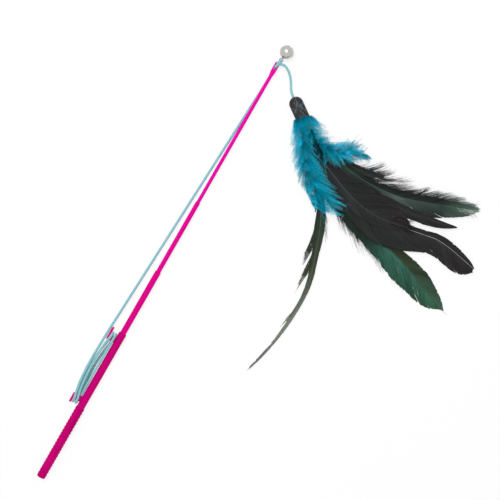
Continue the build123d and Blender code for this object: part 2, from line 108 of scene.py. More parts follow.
class Look:
    """A procedural material: a Principled shader and the nodes that feed it."""

    def __init__(self, name, **values):
        self.material = bpy.data.materials.new(name)
        self.material.use_nodes = True
        self.tree = self.material.node_tree
        self.shader = self.tree.nodes["Principled BSDF"]
        for socket, value in values.items():
            self.shader.inputs[socket.replace("_", " ")].default_value = value

    def node(self, kind, inputs=(), **settings):
        made = self.tree.nodes.new("ShaderNode" + kind)
        for key, value in settings.items():
            setattr(made, key, value)
        for key, value in dict(inputs).items():
            if isinstance(value, bpy.types.NodeSocket):
                self.tree.links.new(value, made.inputs[key])
            else:
                made.inputs[key].default_value = value
        return made

    def drive(self, socket, value):
        self.tree.links.new(value, self.shader.inputs[socket])

    def noise(self, size, stretch=(1, 1, 1), detail=3):
        """Noise with features of this size, in millimetres, longer along an axis by its stretch."""
        coords = self.node("TexCoord").outputs["Object"]
        scale = [1 / (size * MM * way) for way in stretch]
        placed = self.node("Mapping", {"Vector": coords, "Scale": scale})
        grain = self.node("TexNoise", {"Vector": placed.outputs[0], "Scale": 1.0, "Detail": detail})
        return grain.outputs["Fac"]

    def math(self, operation, first, second=0.0):
        return self.node("Math", {0: first, 1: second}, operation=operation).outputs[0]

    def spread(self, value, low, high, start=0.3, end=0.7):
        """A value from start to end, where most noise lies, carried over to the range from low to high."""
        return self.node("MapRange", {"Value": value, 1: start, 2: end, 3: low, 4: high}).outputs[0]

    def ramp(self, value, stops):
        made = self.node("ValToRGB", {"Fac": value})
        elements = made.color_ramp.elements
        while len(elements) < len(stops):
            elements.new(0.5)
        for element, (at, colour) in zip(elements, stops):
            element.position = at
            element.color = srgb(*colour)
        return made.outputs["Color"]

    def mix(self, share, first, second, blend="MIX"):
        inputs = {0: share, 6: first, 7: second}
        return self.node("Mix", inputs, data_type="RGBA", blend_type=blend).outputs[2]

    def brighten(self, tone, level):
        grey = self.node("CombineXYZ", {0: level, 1: level, 2: level}).outputs[0]
        return self.mix(1.0, tone, grey, "MULTIPLY")

    def bump(self, height, depth, edge=0.0):
        """Relief of this depth in millimetres, on edges that are rounded by edge millimetres."""
        inputs = {"Height": height, "Strength": 1.0, "Distance": depth * MM}
        if edge:
            inputs["Normal"] = self.node("Bevel", {"Radius": edge * MM}, samples=4).outputs[0]
        self.drive("Normal", self.node("Bump", inputs).outputs[0])

    def detail(self):
        """The three numbers that a made mesh carries on its points."""
        read = self.node("Attribute", attribute_name="detail")
        return self.node("SeparateXYZ", {0: read.outputs["Vector"]}).outputs


def plastic(name, colour, rough, specular=0.03, draw=1.0, grain=0.02):
    """Moulded or extruded plastic: cloudy colour, lines along the draw, fine grain and rounded edges."""
    look = Look(name, Specular_IOR_Level=specular)
    along = (draw, 1, 1)
    cloud = look.noise(14, along)
    lines = look.noise(0.5, along, detail=1)
    painted_shade_share = srgb(*colour, 0.9)
    pale = srgb(*[min(255, channel * 1.04 + 2) for channel in colour])
    tone = look.mix(look.spread(cloud, 0, 1), painted_shade_share, pale)
    tone = look.mix(look.spread(lines, 0, 0.35), tone, srgb(*colour, 0.95))
    look.drive("Base Color", tone)
    scuffs = look.math("MULTIPLY", look.spread(lines, 0.7, 1.3), look.spread(look.noise(4), 0.85, 1.2))
    look.drive("Roughness", look.math("MULTIPLY", scuffs, rough))
    look.bump(look.noise(0.35, along, detail=2), grain, edge=0.25)
    return look.material


def metal(name, colour, rough, scratch):
    look = Look(name, Metallic=1.0)
    tarnish = look.spread(look.noise(3), 0, 0.5)
    look.drive("Base Color", look.mix(tarnish, srgb(*colour), srgb(*colour, 0.86)))
    look.drive("Roughness", look.spread(look.noise(1.2, (6, 1, 1)), rough * 0.6, rough * 1.6))
    look.bump(look.noise(0.6), scratch, edge=0.12)
    return look.material


def cord_look():
    """Braided elastic: the yarns are pale on their backs and dark where they dive under each other, a painted
    shade that follows the braid's relief.
    """
    look = Look("braided_cord", Specular_IOR_Level=0.2, Sheen_Weight=0.25, Sheen_Roughness=0.5)
    height, _, yarn = look.detail()
    # Painted shade: the colour darkens with the yarns' height, darkest in the dips between them
    tone = look.ramp(height, [(0.0, (62, 112, 122)), (0.45, (112, 176, 186)), (1.0, (158, 214, 220))])
    shade = look.spread(look.noise(9), 0.0, 0.22)
    tone = look.mix(shade, tone, srgb(104, 166, 178))
    tone = look.mix(look.math("MULTIPLY", yarn, 0.3), tone, srgb(172, 220, 224))
    look.drive("Base Color", tone)
    look.drive("Roughness", look.spread(look.noise(0.8), 0.6, 0.85))
    look.bump(look.noise(0.12, detail=2), 0.03)
    return look.material


def vane_look(name, left, right, gloss=0.42):
    """Barbs of a feather, coloured along it by one ramp on each side of its shaft."""
    look = Look(name, Specular_IOR_Level=0.12, Sheen_Weight=0.03, Sheen_Roughness=0.4)
    along, across, shade = look.detail()
    side = look.math("GREATER_THAN", across, 0.5)
    tone = look.mix(side, look.ramp(along, left), look.ramp(along, right))
    reach = look.math("ABSOLUTE", look.math("SUBTRACT", across, 0.5))
    edge = look.spread(reach, 0.0, 0.2, 0.36, 0.5)
    tone = look.mix(edge, tone, look.mix(0.5, tone, srgb(96, 100, 98)))
    look.drive("Base Color", look.brighten(tone, look.spread(shade, 0.55, 1.5, 0.0, 1.0)))
    look.drive("Roughness", look.spread(look.noise(2.5), gloss * 0.8, gloss * 1.25))
    look.bump(look.noise(0.25, detail=2), 0.03)
    return look.material


def shaft_look(name, colour):
    look = Look(name, Specular_IOR_Level=0.4)
    tone = look.mix(look.spread(look.noise(6), 0, 0.6), srgb(*colour), srgb(*colour, 0.7))
    look.drive("Base Color", tone)
    look.drive("Roughness", look.spread(look.noise(1.5), 0.3, 0.5))
    return look.material


def down_look(name, stops, fade_to, fade):
    """Marabou down: dark at the root, bright in the middle, fading towards the finest tips."""
    look = Look(name, Specular_IOR_Level=0.08)
    along, tuft, hair = look.detail()
    tone = look.ramp(along, stops)
    level = look.math("ADD", look.math("MULTIPLY", tuft, 1.1), look.math("MULTIPLY", hair, 0.4))
    level = look.math("ADD", level, 0.4)
    share = look.spread(along, 0.0, fade, 0.7, 1.0)
    look.drive("Base Color", look.mix(share, look.brighten(tone, level), srgb(*fade_to)))
    look.drive("Roughness", look.spread(look.noise(2), 0.6, 0.8))
    return look.material


# Helpers for meshes

def piece(name, parts, materials):
    """A mesh object from parts, each with points in millimetres, faces as rows of corners, their places on
    the map that a bake uses, three numbers for each point, and a material index."""
    mesh = bpy.data.meshes.new(name)
    points, loops, starts, marks, places, details = [], [], [], [], [], []
    first, corner = 0, 0
    for band, part in enumerate(parts):
        points.append(part["points"].reshape(-1, 3))
        details.append(part["detail"].reshape(-1, 3))
        for faces, where in part["faces"]:
            count, sides = faces.shape
            loops.append((faces + first).ravel())
            starts.append(corner + np.arange(count) * sides)
            marks.append(np.full(count, part.get("material", 0)))
            places.append((where.reshape(-1, 2) + [0, band]) / [1, len(parts)])
            corner += count * sides
        first += len(points[-1])
    points, loops = np.concatenate(points) * MM, np.concatenate(loops)
    starts, marks = np.concatenate(starts), np.concatenate(marks)
    mesh.vertices.add(len(points))
    mesh.vertices.foreach_set("co", points.astype(np.float32).ravel())
    mesh.loops.add(len(loops))
    mesh.loops.foreach_set("vertex_index", loops.astype(np.int32))
    mesh.polygons.add(len(starts))
    mesh.polygons.foreach_set("loop_start", starts.astype(np.int32))
    mesh.polygons.foreach_set("material_index", marks.astype(np.int32))
    mesh.polygons.foreach_set("use_smooth", np.ones(len(starts), bool))
    mesh.update(calc_edges=True)
    carried = mesh.attributes.new("detail", "FLOAT_VECTOR", "POINT")
    carried.data.foreach_set("vector", np.concatenate(details).astype(np.float32).ravel())
    layer = mesh.uv_layers.new(name="OFBake")
    layer.uv.foreach_set("vector", np.concatenate(places).astype(np.float32).ravel())
    for material in materials:
        mesh.materials.append(material)
    made = bpy.data.objects.new(name, mesh)
    scene.collection.objects.link(made)
    return made


def strips(paths, widths, heights, detail, tilt=0.0, material=0):
    """Closed three-sided strips along paths, an array of strips by stations by three, for barbs and hairs.
    Each has its own row of the map."""
    count, stations, _ = paths.shape
    way = unit(np.gradient(paths, axis=1))
    across = unit(np.cross(UP, way) + 1e-6)
    lift = np.cross(way, across)
    half = across * widths[..., None] / 2
    lean = lift * tilt
    ring = np.stack([paths + half + lean, paths + lift * heights[..., None], paths - half - lean], axis=2)
    base = np.arange(count)[:, None] * stations * 3
    here = base + np.arange(stations - 1)[None] * 3
    row = np.arange(count)[:, None]
    spots = np.linspace(0, 1, stations)
    u_here, u_next = spots[:-1] + 0 * here, spots[1:] + 0 * here
    faces, places = [], []
    for side, (low, high) in enumerate(((0, 0.5), (0.5, 1), (1, 0))):
        after = (side + 1) % 3
        faces.append(np.stack([here + side, here + after, here + after + 3, here + side + 3], -1))
        v_low, v_high = (row + low) / count + 0 * here, (row + high) / count + 0 * here
        places.append(np.stack([u_here, v_low, u_here, v_high, u_next, v_high, u_next, v_low], -1))
    quads = (np.concatenate(faces).reshape(-1, 4), np.concatenate(places).reshape(-1, 4, 2))
    end = base + (stations - 1) * 3
    caps = np.concatenate([base + np.array([0, 2, 1]), end + np.array([0, 1, 2])])
    v_cap = np.tile(row, (2, 1)) + np.array([0.0, 0.5, 1.0])
    u_cap = np.repeat([0.0, 0.99], count)[:, None] + np.array([0.0, 0.01, 0.0])
    tris = (caps, np.stack([u_cap, v_cap / count], -1))
    return {"points": ring, "faces": [quads, tris], "material": material,
            "detail": np.repeat(detail[:, :, None, :], 3, axis=2)}


def carried_frames(path):
    """Two directions square to a path at each point, turned as little as possible along it."""
    way = unit(np.gradient(path, axis=0))
    first = np.cross(way[0], UP if abs(way[0][2]) < 0.9 else np.array([1.0, 0, 0]))
    sides = [unit(first)]
    for ahead in way[1:]:
        sides.append(unit(sides[-1] - ahead * sides[-1].dot(ahead)))
    sides = np.array(sides)
    return sides, np.cross(way, sides)


def tube(path, radii, sides, detail=None, relief=None, map_rows=1, material=0):
    """A closed tube along a path. relief and detail give each point's height and its three numbers."""
    count = len(path)
    one, two = carried_frames(path)
    around = np.arange(sides)
    beside = (around + 1) % sides
    turn = around * 2 * np.pi / sides
    out = one[:, None] * np.cos(turn)[None, :, None] + two[:, None] * np.sin(turn)[None, :, None]
    reach = np.broadcast_to(np.asarray(radii, float).reshape(-1, 1), (count, sides))
    if relief is not None:
        reach = reach + relief
    points = np.concatenate([(path[:, None] + out * reach[..., None]).reshape(-1, 3), path[[0, -1]]])
    ring = np.arange(count - 1)[:, None] * sides
    quads = np.stack([ring + around, ring + beside, ring + sides + beside, ring + sides + around], -1)
    quads = quads.reshape(-1, 4)
    spot = np.arange(count - 1) / (count - 1) * map_rows
    line = np.floor(spot)
    u_here = np.repeat((spot - line)[:, None], sides, 1)
    u_next = np.repeat((spot - line + map_rows / (count - 1))[:, None], sides, 1)
    v_here = (line[:, None] + around / sides) / map_rows
    v_next = (line[:, None] + (around + 1) / sides) / map_rows
    where = np.stack([u_here, v_here, u_here, v_next, u_next, v_next, u_next, v_here], -1).reshape(-1, 4, 2)
    centre = count * sides
    last = (count - 1) * sides
    caps = np.concatenate([np.stack([np.full(sides, centre), beside, around], -1),
                           np.stack([np.full(sides, centre + 1), last + around, last + beside], -1)])
    if detail is None:
        detail = np.full((count, sides, 3), 0.5)
    carried = np.concatenate([detail.reshape(-1, 3), detail[[0, -1], 0]])
    v_cap = np.stack([around, around + 0.5, around + 1], -1) / sides / map_rows
    cap_places = np.stack([np.tile([0.0, 0.002, 0.0], (2 * sides, 1)), np.tile(v_cap, (2, 1))], -1)
    return {"points": points, "detail": carried, "faces": [(quads, where), (caps, cap_places)],
            "material": material}


# Cords

cord_d = 2.8
braid_strands = 8
braid_pitch = 9.0
braid_depth = 0.11
cord_sides = 4 * braid_strands
cord_step = braid_pitch / cord_sides


def spline_points(route):
    """Points along the NURBS spline that has the route's points as its control points."""
    curve = bpy.data.curves.new("route", "CURVE")
    curve.dimensions = "3D"
    curve.resolution_u = 48
    spline = curve.splines.new("NURBS")
    spline.points.add(len(route) - 1)
    for point, place in zip(spline.points, route):
        point.co = (*place, 1)
    spline.order_u = 3
    spline.use_endpoint_u = True
    holder = bpy.data.objects.new("route", curve)
    line = bpy.data.meshes.new_from_object(holder)
    points = np.array([vertex.co for vertex in line.vertices])
    bpy.data.objects.remove(holder)
    bpy.data.curves.remove(curve)
    bpy.data.meshes.remove(line)
    return points


def laid(route):
    """The spline of a route, as points about one step of the braid apart."""
    points = spline_points(route)
    walked = np.concatenate([[0], np.cumsum(np.linalg.norm(np.diff(points, axis=0), axis=1))])
    stops = np.linspace(0, walked[-1], max(3, round(walked[-1] / cord_step) + 1))
    return np.stack([np.interp(stops, walked, points[:, axis]) for axis in range(3)], 1)


def braid(path, diameter=cord_d):
    """A braided tube: yarns cross in both directions, two over and two under."""
    along = np.arange(len(path))[:, None]
    around = np.arange(cord_sides)[None]
    one, two = (around + along) / 4, (around - along) / 4
    over = (np.floor(one) + np.floor(two)) % 4 < 2
    backs = [1 - (2 * (turn - np.floor(turn)) - 1) ** 2 for turn in (one, two)]
    # This height shapes the relief and also sets the cord's painted shade in the dips
    height = 0.25 + 0.75 * np.where(over, *backs)
    yarn = np.where(over, np.floor(one) * 0.37, np.floor(two) * 0.61) % 1
    share = np.broadcast_to(along / len(path), height.shape)
    length = np.linalg.norm(np.diff(path, axis=0), axis=1).sum()
    return tube(path, diameter / 2, cord_sides, np.stack([height, share, yarn], -1),
                relief=(height - 1) * braid_depth, map_rows=max(1, round(length / 40)))


def cord_piece(name, route, material):
    path = laid(route)
    made = piece(name, [braid(path)], [material])
    return made, path, np.linalg.norm(np.diff(path, axis=0), axis=1).sum()


teal = cord_look()

# Winding on the hooks: the runs between its half turns, and a half turn as shares of its radius, out and up
turn_r = 3.2
half_turn = [(-0.41, 1), (0.41, 1), (1, 0.41), (1, -0.41), (0.41, -1), (-0.41, -1)]
winding_runs = [
    [(99.55, 5.95, 0.0), (108.0, 5.96, 0.0), (122.0, 6.1, 3.2), (150.0, 6.0, 3.2), (174.0, 5.95, 3.2)],
    [(174.0, 6.05, -3.2), (146.0, 10.2, -3.2), (118.0, 9.3, -3.2), (93.5, 7.05, -3.2)],
    [(93.5, 7.15, 3.2), (110.0, 10.7, 3.2), (136.0, 12.5, 3.2), (158.0, 12.3, 3.2), (174.0, 9.65, 3.2)],
    [(174.0, 9.65, -3.2), (146.0, 14.0, -3.2), (118.0, 13.2, -3.2), (93.5, 10.5, -3.2)],
    [(93.5, 10.6, 3.2), (110.0, 14.4, 3.2), (136.0, 16.3, 2.4), (170.0, 15.67, 0.063),
     (187.0, 14.91, -0.114)],
]
winding_route = winding_runs[0][:-1]
for run, after in zip(winding_runs, winding_runs[1:]):
    (x, y, z), next_y = run[-1], after[0][1]
    outward = turn_r if x > run[0][0] else -turn_r
    for out, up in half_turn:
        winding_route.append((x + outward * out, y + (next_y - y) * (1 - up) / 2, z * up))
    winding_route += after[1:] if after is winding_runs[-1] else after[1:-1]
winding, path, length = cord_piece("cord_winding_braid", winding_route, teal)
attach(winding, "handle")
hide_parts("cord_winding")

# Taut run to the underside of the tip: one stretch for each slide
tip_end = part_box("tip_rod")[1].x / MM
run_split_shares = [0, 0.2315, 0.493, 1]
run_start = np.array(winding_runs[-1][-1])
eye_route = [(-13.5, 0.407, -3.5), (-8.4, 0.2, -3.55), (-6.4, 0.1, -3.5), (-6.4, 0.05, 0.0),
             (-6.4, 0.0, 3.4), (-3.0, -1.2, 4.8)]


def from_tip(points):
    return [(tip_end + x, y, z) for x, y, z in points]


run_end = np.array(from_tip(eye_route)[0])
run_points = [run_start + (run_end - run_start) * share for share in run_split_shares]
run_bodies = [("lower", "handle", "stage_2"), ("middle", "stage_2", "stage_3"), ("upper", "stage_3", "tip")]
for (name, near, far), start, end in zip(run_bodies, run_points, run_points[1:]):
    stretch, path, length = cord_piece(f"cord_run_{name}_braid", [start, (start + end) / 2, end], teal)
    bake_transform(stretch)
    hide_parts(f"cord_run_{name}")

# Knot at the eye, as an overhand knot that is drawn tight, with the loop that holds the bell
knot_point = np.array(from_tip([(-3.3, -1.2, 5.0)])[0])
knot_middle = knot_point + np.array([1.1, -0.4, 0.4])
knot_size = 4.0
knot_turn_deg = 25
knot_strand_d = 2.5


def overhand(centre, size, turn_deg):
    """Control points of a drawn knot: a trefoil of this size across."""
    turn = np.linspace(0, 2 * np.pi, 25)
    spin = math.radians(turn_deg)
    x = np.sin(turn) + 2 * np.sin(2 * turn)
    y = np.cos(turn) - 2 * np.cos(2 * turn)
    z = -np.sin(3 * turn) * 0.8
    scale = size / 6
    return centre + scale * np.stack(
        [x * math.cos(spin) - y * math.sin(spin), x * math.sin(spin) + y * math.cos(spin), z], 1)


loop_route = [(-3.4, -1.5, 6.6), (0.2, -1.8, 7.3), (2.3, -1.8, 7.3), (2.3, -1.8, 3.1), (0.2, -1.8, 3.1),
              (-3.2, -1.5, 3.6)]
knot_parts = [
    braid(laid(from_tip(eye_route))),
    braid(laid(from_tip(loop_route)), knot_strand_d),
    braid(laid(overhand(knot_middle, knot_size, knot_turn_deg)), knot_strand_d),
]
tip_knot = piece("tip_knot_braid", knot_parts, [teal])
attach(tip_knot, "tip")
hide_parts("cord_knot")

# Free stretch from the knot to the cap
dangle_route = [(-2.6, -2.0, 5.0), (-1.3, -4.0, 4.9), (-0.8, -8.3, 4.4), (-2.6, -13.3, 3.0),
                (-6.8, -18.4, 2.0), (-13.8, -23.7, 2.0), (-22.3, -28.36, 2.6), (-25.55, -32.9, 2.85)]
dangle, path, length = cord_piece("cord_dangle_braid", from_tip(dangle_route), teal)
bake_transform(dangle)
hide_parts("cord_dangle")

# The lure's own frame: u from the cap's apex to its mouth and on, v across it, in the lying plane
tilt_axis = np.array(joints["lure_tilt"]["axis"])
cap_apex = np.array(joints["lure_tilt"]["pos_m"]) / MM
lure_v = unit(-tilt_axis)
lure_u = np.cross(lure_v, UP)
cap_r = cap_apex[2] - floor_z
cap_length = 26.0
cap_mouth = cap_apex + lure_u * cap_length

# Stop knot inside the cap
neck_points = np.array([cap_apex + lure_u * along for along in (-0.3, 1.0, 2.6, 4.2)])
stop_middle = cap_apex + lure_u * 4.8
stop_size = 3.4
stop_turn_deg = 60
stop_strand_d = 1.9
stop_parts = [
    braid(laid(neck_points), knot_strand_d),
    braid(laid(overhand(stop_middle, stop_size, stop_turn_deg)), stop_strand_d),
]
stop_knot = piece("stop_knot_braid", stop_parts, [teal])
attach(stop_knot, "lure")
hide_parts("cap_knot")


# Finishes of the rigid pieces. An extruded tube's lines are this many times longer than wide.

tube_draw = 40
finishes = {
    "butt_plug": plastic("butt_pink", (190, 2, 108), 0.5),
    "grip_sleeve": plastic("grip_pink", (203, 0, 116), 0.62, grain=0.04),
    "handle_tube": plastic("handle_pink", (208, 0, 122), 0.42, draw=tube_draw),
    "lower_hook": plastic("lower_hook_pink", (218, 2, 134), 0.45),
    "upper_hook": plastic("upper_hook_pink", (206, 2, 120), 0.45),
    "stage_2_tube": plastic("stage_2_pink", (234, 0, 142), 0.36, draw=tube_draw),
    "stage_3_tube": plastic("stage_3_pink", (238, 0, 156), 0.36, draw=tube_draw),
    "tip_rod": plastic("rod_pink", (236, 0, 168), 0.36, draw=tube_draw),
    "lure_cap": plastic("cap_black", (42, 40, 42), 0.6, 0.25, grain=0.05),
    "quill_binding": plastic("set_glue", (188, 176, 140), 0.4, 0.4),
    "bell_ball": metal("steel_ball", (150, 150, 152), 0.3, 0.01),
}
bush_plastic = plastic("bush_nylon", (220, 219, 212), 0.55, 0.3)
bell_metal = metal("bell_nickel", (198, 196, 190), 0.13, 0.004)
for name in ("stage_2_bush", "stage_3_bush", "tip_bush"):
    finishes[name] = bush_plastic
for name in ("bell_cup_upper", "bell_cup_lower"):
    finishes[name] = bell_metal
finishes["bell_shank"] = metal("shank_wire", (128, 130, 132), 0.3, 0.006)
for name, material in finishes.items():
    nodes[name].data.materials.clear()
    nodes[name].data.materials.append(material)


# Feathers: their spines, as the solids have them

quill_seat = 10.8
coque_thick = 0.6
marabou_thick = 1.8
layer_gap = 0.5
first_layer_gap = 0.6
layer_squeeze_share = 0.62
layer_lift = 1.6
layer_free_at = 30.0
layer_far_at = 240.0
layer_far_share = 0.42
past_end = 14.0
soften_reach = 6
soften_spread = 2.2
# Reach, thickness and the spine's other three points as shares of the reach, from the lowest layer up
stack = {
    "marabou_under_left": (98, marabou_thick, [(0.12, -0.01), (0.45, -0.3), (1, -0.3)]),
    "marabou_under_right": (84, marabou_thick, [(0.25, -0.02), (0.55, 0.1), (1, 0.3)]),
    "feather_olive_thin": (226, coque_thick, [(0.4, -0.02), (0.82, -0.255), (1, -0.757)]),
    "feather_green_broad": (254, coque_thick, [(0.28, -0.055), (0.59, 0.04), (1, 0.203)]),
    "feather_green_tipped": (172, coque_thick, [(0.29, 0.012), (0.7, 0.175), (1, 0.783)]),
    "feather_dark_upper": (112, coque_thick, [(0.36, 0.036), (0.71, 0.22), (1, 0.629)]),
    "feather_black_short": (179, coque_thick, [(0.34, 0), (0.7, 0.196), (1, 0.586)]),
    "feather_black_long": (227, coque_thick, [(0.5, -0.11), (0.68, 0.22), (1, 0.43)]),
    "feather_black_broad": (155, coque_thick, [(0.32, -0.052), (0.645, 0.077), (1, 0.361)]),
    "marabou_right": (67, marabou_thick, [(0.62, -0.03), (0.74, 0.2), (1, 0.745)]),
    "marabou_left": (121, marabou_thick, [(0.1, -0.01), (0.33, -0.27), (1, -0.165)]),
    "marabou_top": (50, marabou_thick, [(0.25, 0.02), (0.6, 0.04), (1, 0.06)]),
}


class Spine:
    """A feather's centre line and its directions, by the length walked along it."""

    def __init__(self, reach, spine_shares, layer, samples=240):
        share = np.linspace(0, 1, samples)
        rest = 1 - share
        corners = np.array([(-quill_seat, 0)] + [(reach * a, reach * b) for a, b in spine_shares])
        weights = np.stack([rest**3, 3 * rest**2 * share, 3 * rest * share**2, share**3], 1)
        u, v = (weights @ corners).T
        opened = layer_squeeze_share + (1 - layer_squeeze_share) * ease(u, 0, layer_free_at)
        scale = opened * (1 - (1 - layer_far_share) * ease(u, layer_free_at, layer_far_at))
        lift = layer_lift * (1 - ease(u, 0, layer_free_at))
        centre = cap_mouth + lure_u * u[:, None] + lure_v * v[:, None]
        centre[:, 2] = floor_z + lift + layer * scale
        steps = np.linalg.norm(np.diff(centre, axis=0), axis=1)
        self.length = steps.sum()
        ahead = unit((centre[-1] - centre[-4]) * np.array([1, 1, 0]))
        beyond = np.linspace(1, past_end, 8)
        self.centre = np.concatenate([centre, centre[-1] + ahead * beyond[:, None]])
        self.walked = np.concatenate([[0], np.cumsum(steps), self.length + beyond])
        self.way = unit(np.gradient(self.centre, axis=0))
        self.side = unit(np.cross(UP, self.way))
        self.mouth = float(np.interp(0, u, self.walked[:samples]))
        # Until an outline is set, as on plumes, the shaft stays on the spine
        self.grid, self.lines = np.zeros(1), {0: np.zeros(1)}

    def at(self, name, walked):
        table = getattr(self, name)
        return np.stack([np.interp(walked, self.walked, table[:, axis]) for axis in range(3)], -1)

    def place(self, walked, offset):
        return self.at("centre", walked) + self.at("side", walked) * offset[..., None]

    def set_outline(self, shaft, left, right):
        """Offsets of the shaft and of both edges from the spine, at lengths walked, with softened corners."""
        self.grid = np.arange(0, self.length + past_end)
        kernel = np.exp(-0.5 * (np.arange(-soften_reach, soften_reach + 1) / soften_spread) ** 2)
        kernel = kernel / kernel.sum()
        lines = []
        for stations, sign in ((shaft, 1), (left, -1), (right, 1)):
            line = sign * np.interp(self.grid, *np.transpose(stations))
            lines.append(np.convolve(np.pad(line, soften_reach, mode="edge"), kernel, mode="valid"))
        self.lines = dict(zip((0, -1, 1), lines))
        self.tip = max(left[-1][0], right[-1][0])

    def line(self, which, walked):
        """The shaft's offset for 0, the left edge's for -1 and the right edge's for 1."""
        return np.interp(walked, self.grid, self.lines[which])


def build_spines():
    spines = {}
    top = first_layer_gap
    for name, (reach, thick, spine_shares) in stack.items():
        layer = top + layer_gap + thick / 2
        spines[name] = Spine(reach, spine_shares, layer)
        top = layer + thick / 2
    return spines


spines = build_spines()

# Shafts and barbs
shaft_stations = 90
shaft_sides = 7
shaft_start = 0.3
shaft_lift = 0.14
shaft_taper = 0.7
vane_stations = 8
lock_stations = 9
clump_spare = 0.6
barb_thick = 0.08
barb_floor_gap = 0.25
barb_tilt = 0.03


def shaft(spine, root_d, tip_d, end):
    """The feather's quill and shaft, tapering to its tip."""
    walked = np.linspace(shaft_start, end, shaft_stations)
    path = spine.place(walked, spine.line(0, walked))
    path[:, 2] += shaft_lift
    diameters = root_d + (tip_d - root_d) * (walked / end) ** shaft_taper
    return tube(path, diameters / 2, shaft_sides, material=1)


def clumps_of(rng, roots, size):
    """Barbs cling together in clumps: each barb's clump, its place in it from -0.5 to 0.5, and its size."""
    edges = [roots[0] - 1e-6]
    while edges[-1] < roots[-1]:
        edges.append(edges[-1] + size * rng.uniform(1 - clump_spare, 1 + clump_spare))
    edges = np.array(edges)
    clump = np.searchsorted(edges, roots) - 1
    return clump, (roots - edges[clump]) / np.diff(edges)[clump] - 0.5, np.diff(edges)[clump]


def barb_strips(spine, walked, offset, lift, widths, sign, shade):
    path = spine.place(walked, offset)
    path[..., 2] = np.maximum(path[..., 2] + lift, floor_z + barb_floor_gap)
    across = 0.5 + 0.5 * sign * np.linspace(0, 1, walked.shape[1])[None] + 0 * walked
    detail = np.stack([walked / spine.tip, across, np.clip(shade, 0, 1)[:, None] + 0 * walked], -1)
    return strips(path, widths, np.full(widths.shape, barb_thick), detail, tilt=barb_tilt * sign)


def vane(rng, spine, sign, start, end, pitch, angle, clump, part, ragged, loose=0.0, over=1.0, wide=1.9,
         fine=0.9, curl=0.0, tone=0.5):
    """One side's barbs: they leave the shaft square, bend towards the tip and end on the outline. sign is
    the side, start and end are the stretch of shaft, and angle is how far the barbs stand off it. part draws
    clumps together, ragged shortens barbs, loose lets them wander, over takes them past the outline, wide and
    fine set their width at root and end, and curl bends their ends back."""
    roots = np.arange(start, end, pitch)
    count = len(roots)
    roots = roots + rng.uniform(-0.3, 0.3, count) * pitch
    group, spot, group_size = clumps_of(rng, roots, clump)
    groups = group.max() + 1

    def scatter(by_clump, by_barb):
        return by_clump * rng.normal(0, 1, groups)[group] + by_barb * rng.normal(0, 1, count)

    q = np.linspace(0, 1, vane_stations)[None]
    span = np.abs(spine.line(sign, roots) - spine.line(0, roots))
    sweep = 1 + scatter(0.05 + 0.15 * loose, 0.12 * loose)
    room = np.maximum(spine.tip - roots, 0.5)
    ahead = room * (1 - np.exp(-span / math.tan(math.radians(angle)) * sweep / room))
    walked = roots[:, None] + ahead[:, None] * q**1.3
    parted = part * np.minimum(1, 2.4 * rng.random(groups) ** 2)[group]
    walked = walked - (spot * group_size * parted)[:, None] * q**3
    walked = np.clip(walked, 0, spine.tip)
    axis = spine.line(0, walked)
    reach = 1 - rng.gamma(1.2, ragged, count) - rng.uniform(0, ragged * 2, groups)[group]
    reach = (np.clip(reach, 0.35, 1) * over * (1 + 0.12 * loose * scatter(0.6, 0.5)))[:, None]
    offset = axis + (spine.line(sign, walked) - axis) * q * reach
    drift = loose * 0.16 * span * scatter(0.7, 0.6)
    walked = walked + drift[:, None] * q**2 - curl * span[:, None] * q**3
    lift = scatter(0.16, 0.06)[:, None] * q * (1 + 3 * loose) - 0.05 * span[:, None] * q**2
    widths = pitch * wide * (1 - (1 - fine) * q**1.5) + np.zeros((count, 1))
    shade = tone + scatter(0.16, 0.07)
    return barb_strips(spine, walked, offset, lift, widths, sign, shade)


def lock(rng, spine, start, end, tip, count, spray, width, bow=0.15, tone=0.5):
    """A lock of barbs that cling together, from a stretch of the shaft to a tip, which is given by the length
    walked and the offset from the spine. spray scatters the barbs' ends along and across, and bow pushes the
    lock's middle out towards the feather's tip."""
    roots = np.sort(rng.uniform(start, end, count))
    foot = np.stack([roots, spine.line(0, roots)], -1)
    tips = np.array(tip) + rng.normal(0, 1, (count, 2)) * np.array(spray)
    tips[:, 0] += (roots - roots.mean()) * 0.3
    run = tips - foot
    middle = foot + run * 0.5 + np.stack([np.abs(run[:, 1]), 0 * roots], -1) * bow
    middle[:, 1] -= run[:, 1] * 0.12
    along = np.linspace(0, 1, lock_stations)[None]
    q = along[..., None]
    line = foot[:, None] * (1 - q) ** 2 + middle[:, None] * 2 * q * (1 - q) + tips[:, None] * q**2
    lift = rng.normal(0, 0.25, (count, 1)) * along
    widths = width * (1 - 0.75 * along**2) + np.zeros((count, 1))
    shade = tone + 0.12 * rng.normal(0, 1, count)
    sign = 1 if run[:, 1].mean() > 0 else -1
    return barb_strips(spine, line[..., 0], line[..., 1], lift, widths, sign, shade)


# How many values a row of vanes or of locks always has, before its own settings
vane_values = 8
lock_values = 6


def feather(name, seed, shaft_sizes, materials, middle, left, right, vanes, locks=()):
    """A coque feather: its shaft, its vanes and the locks that have come loose from them."""
    rng = np.random.default_rng(seed)
    spine = spines[name]
    spine.set_outline(middle, left, right)
    parts = [shaft(spine, *shaft_sizes)]
    parts += [vane(rng, spine, *row[:vane_values], **dict(*row[vane_values:])) for row in vanes]
    parts += [lock(rng, spine, *row[:lock_values], **dict(*row[lock_values:])) for row in locks]
    made = piece(name + "_barbs", parts, materials)
    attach(made, "lure")
    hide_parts(name)


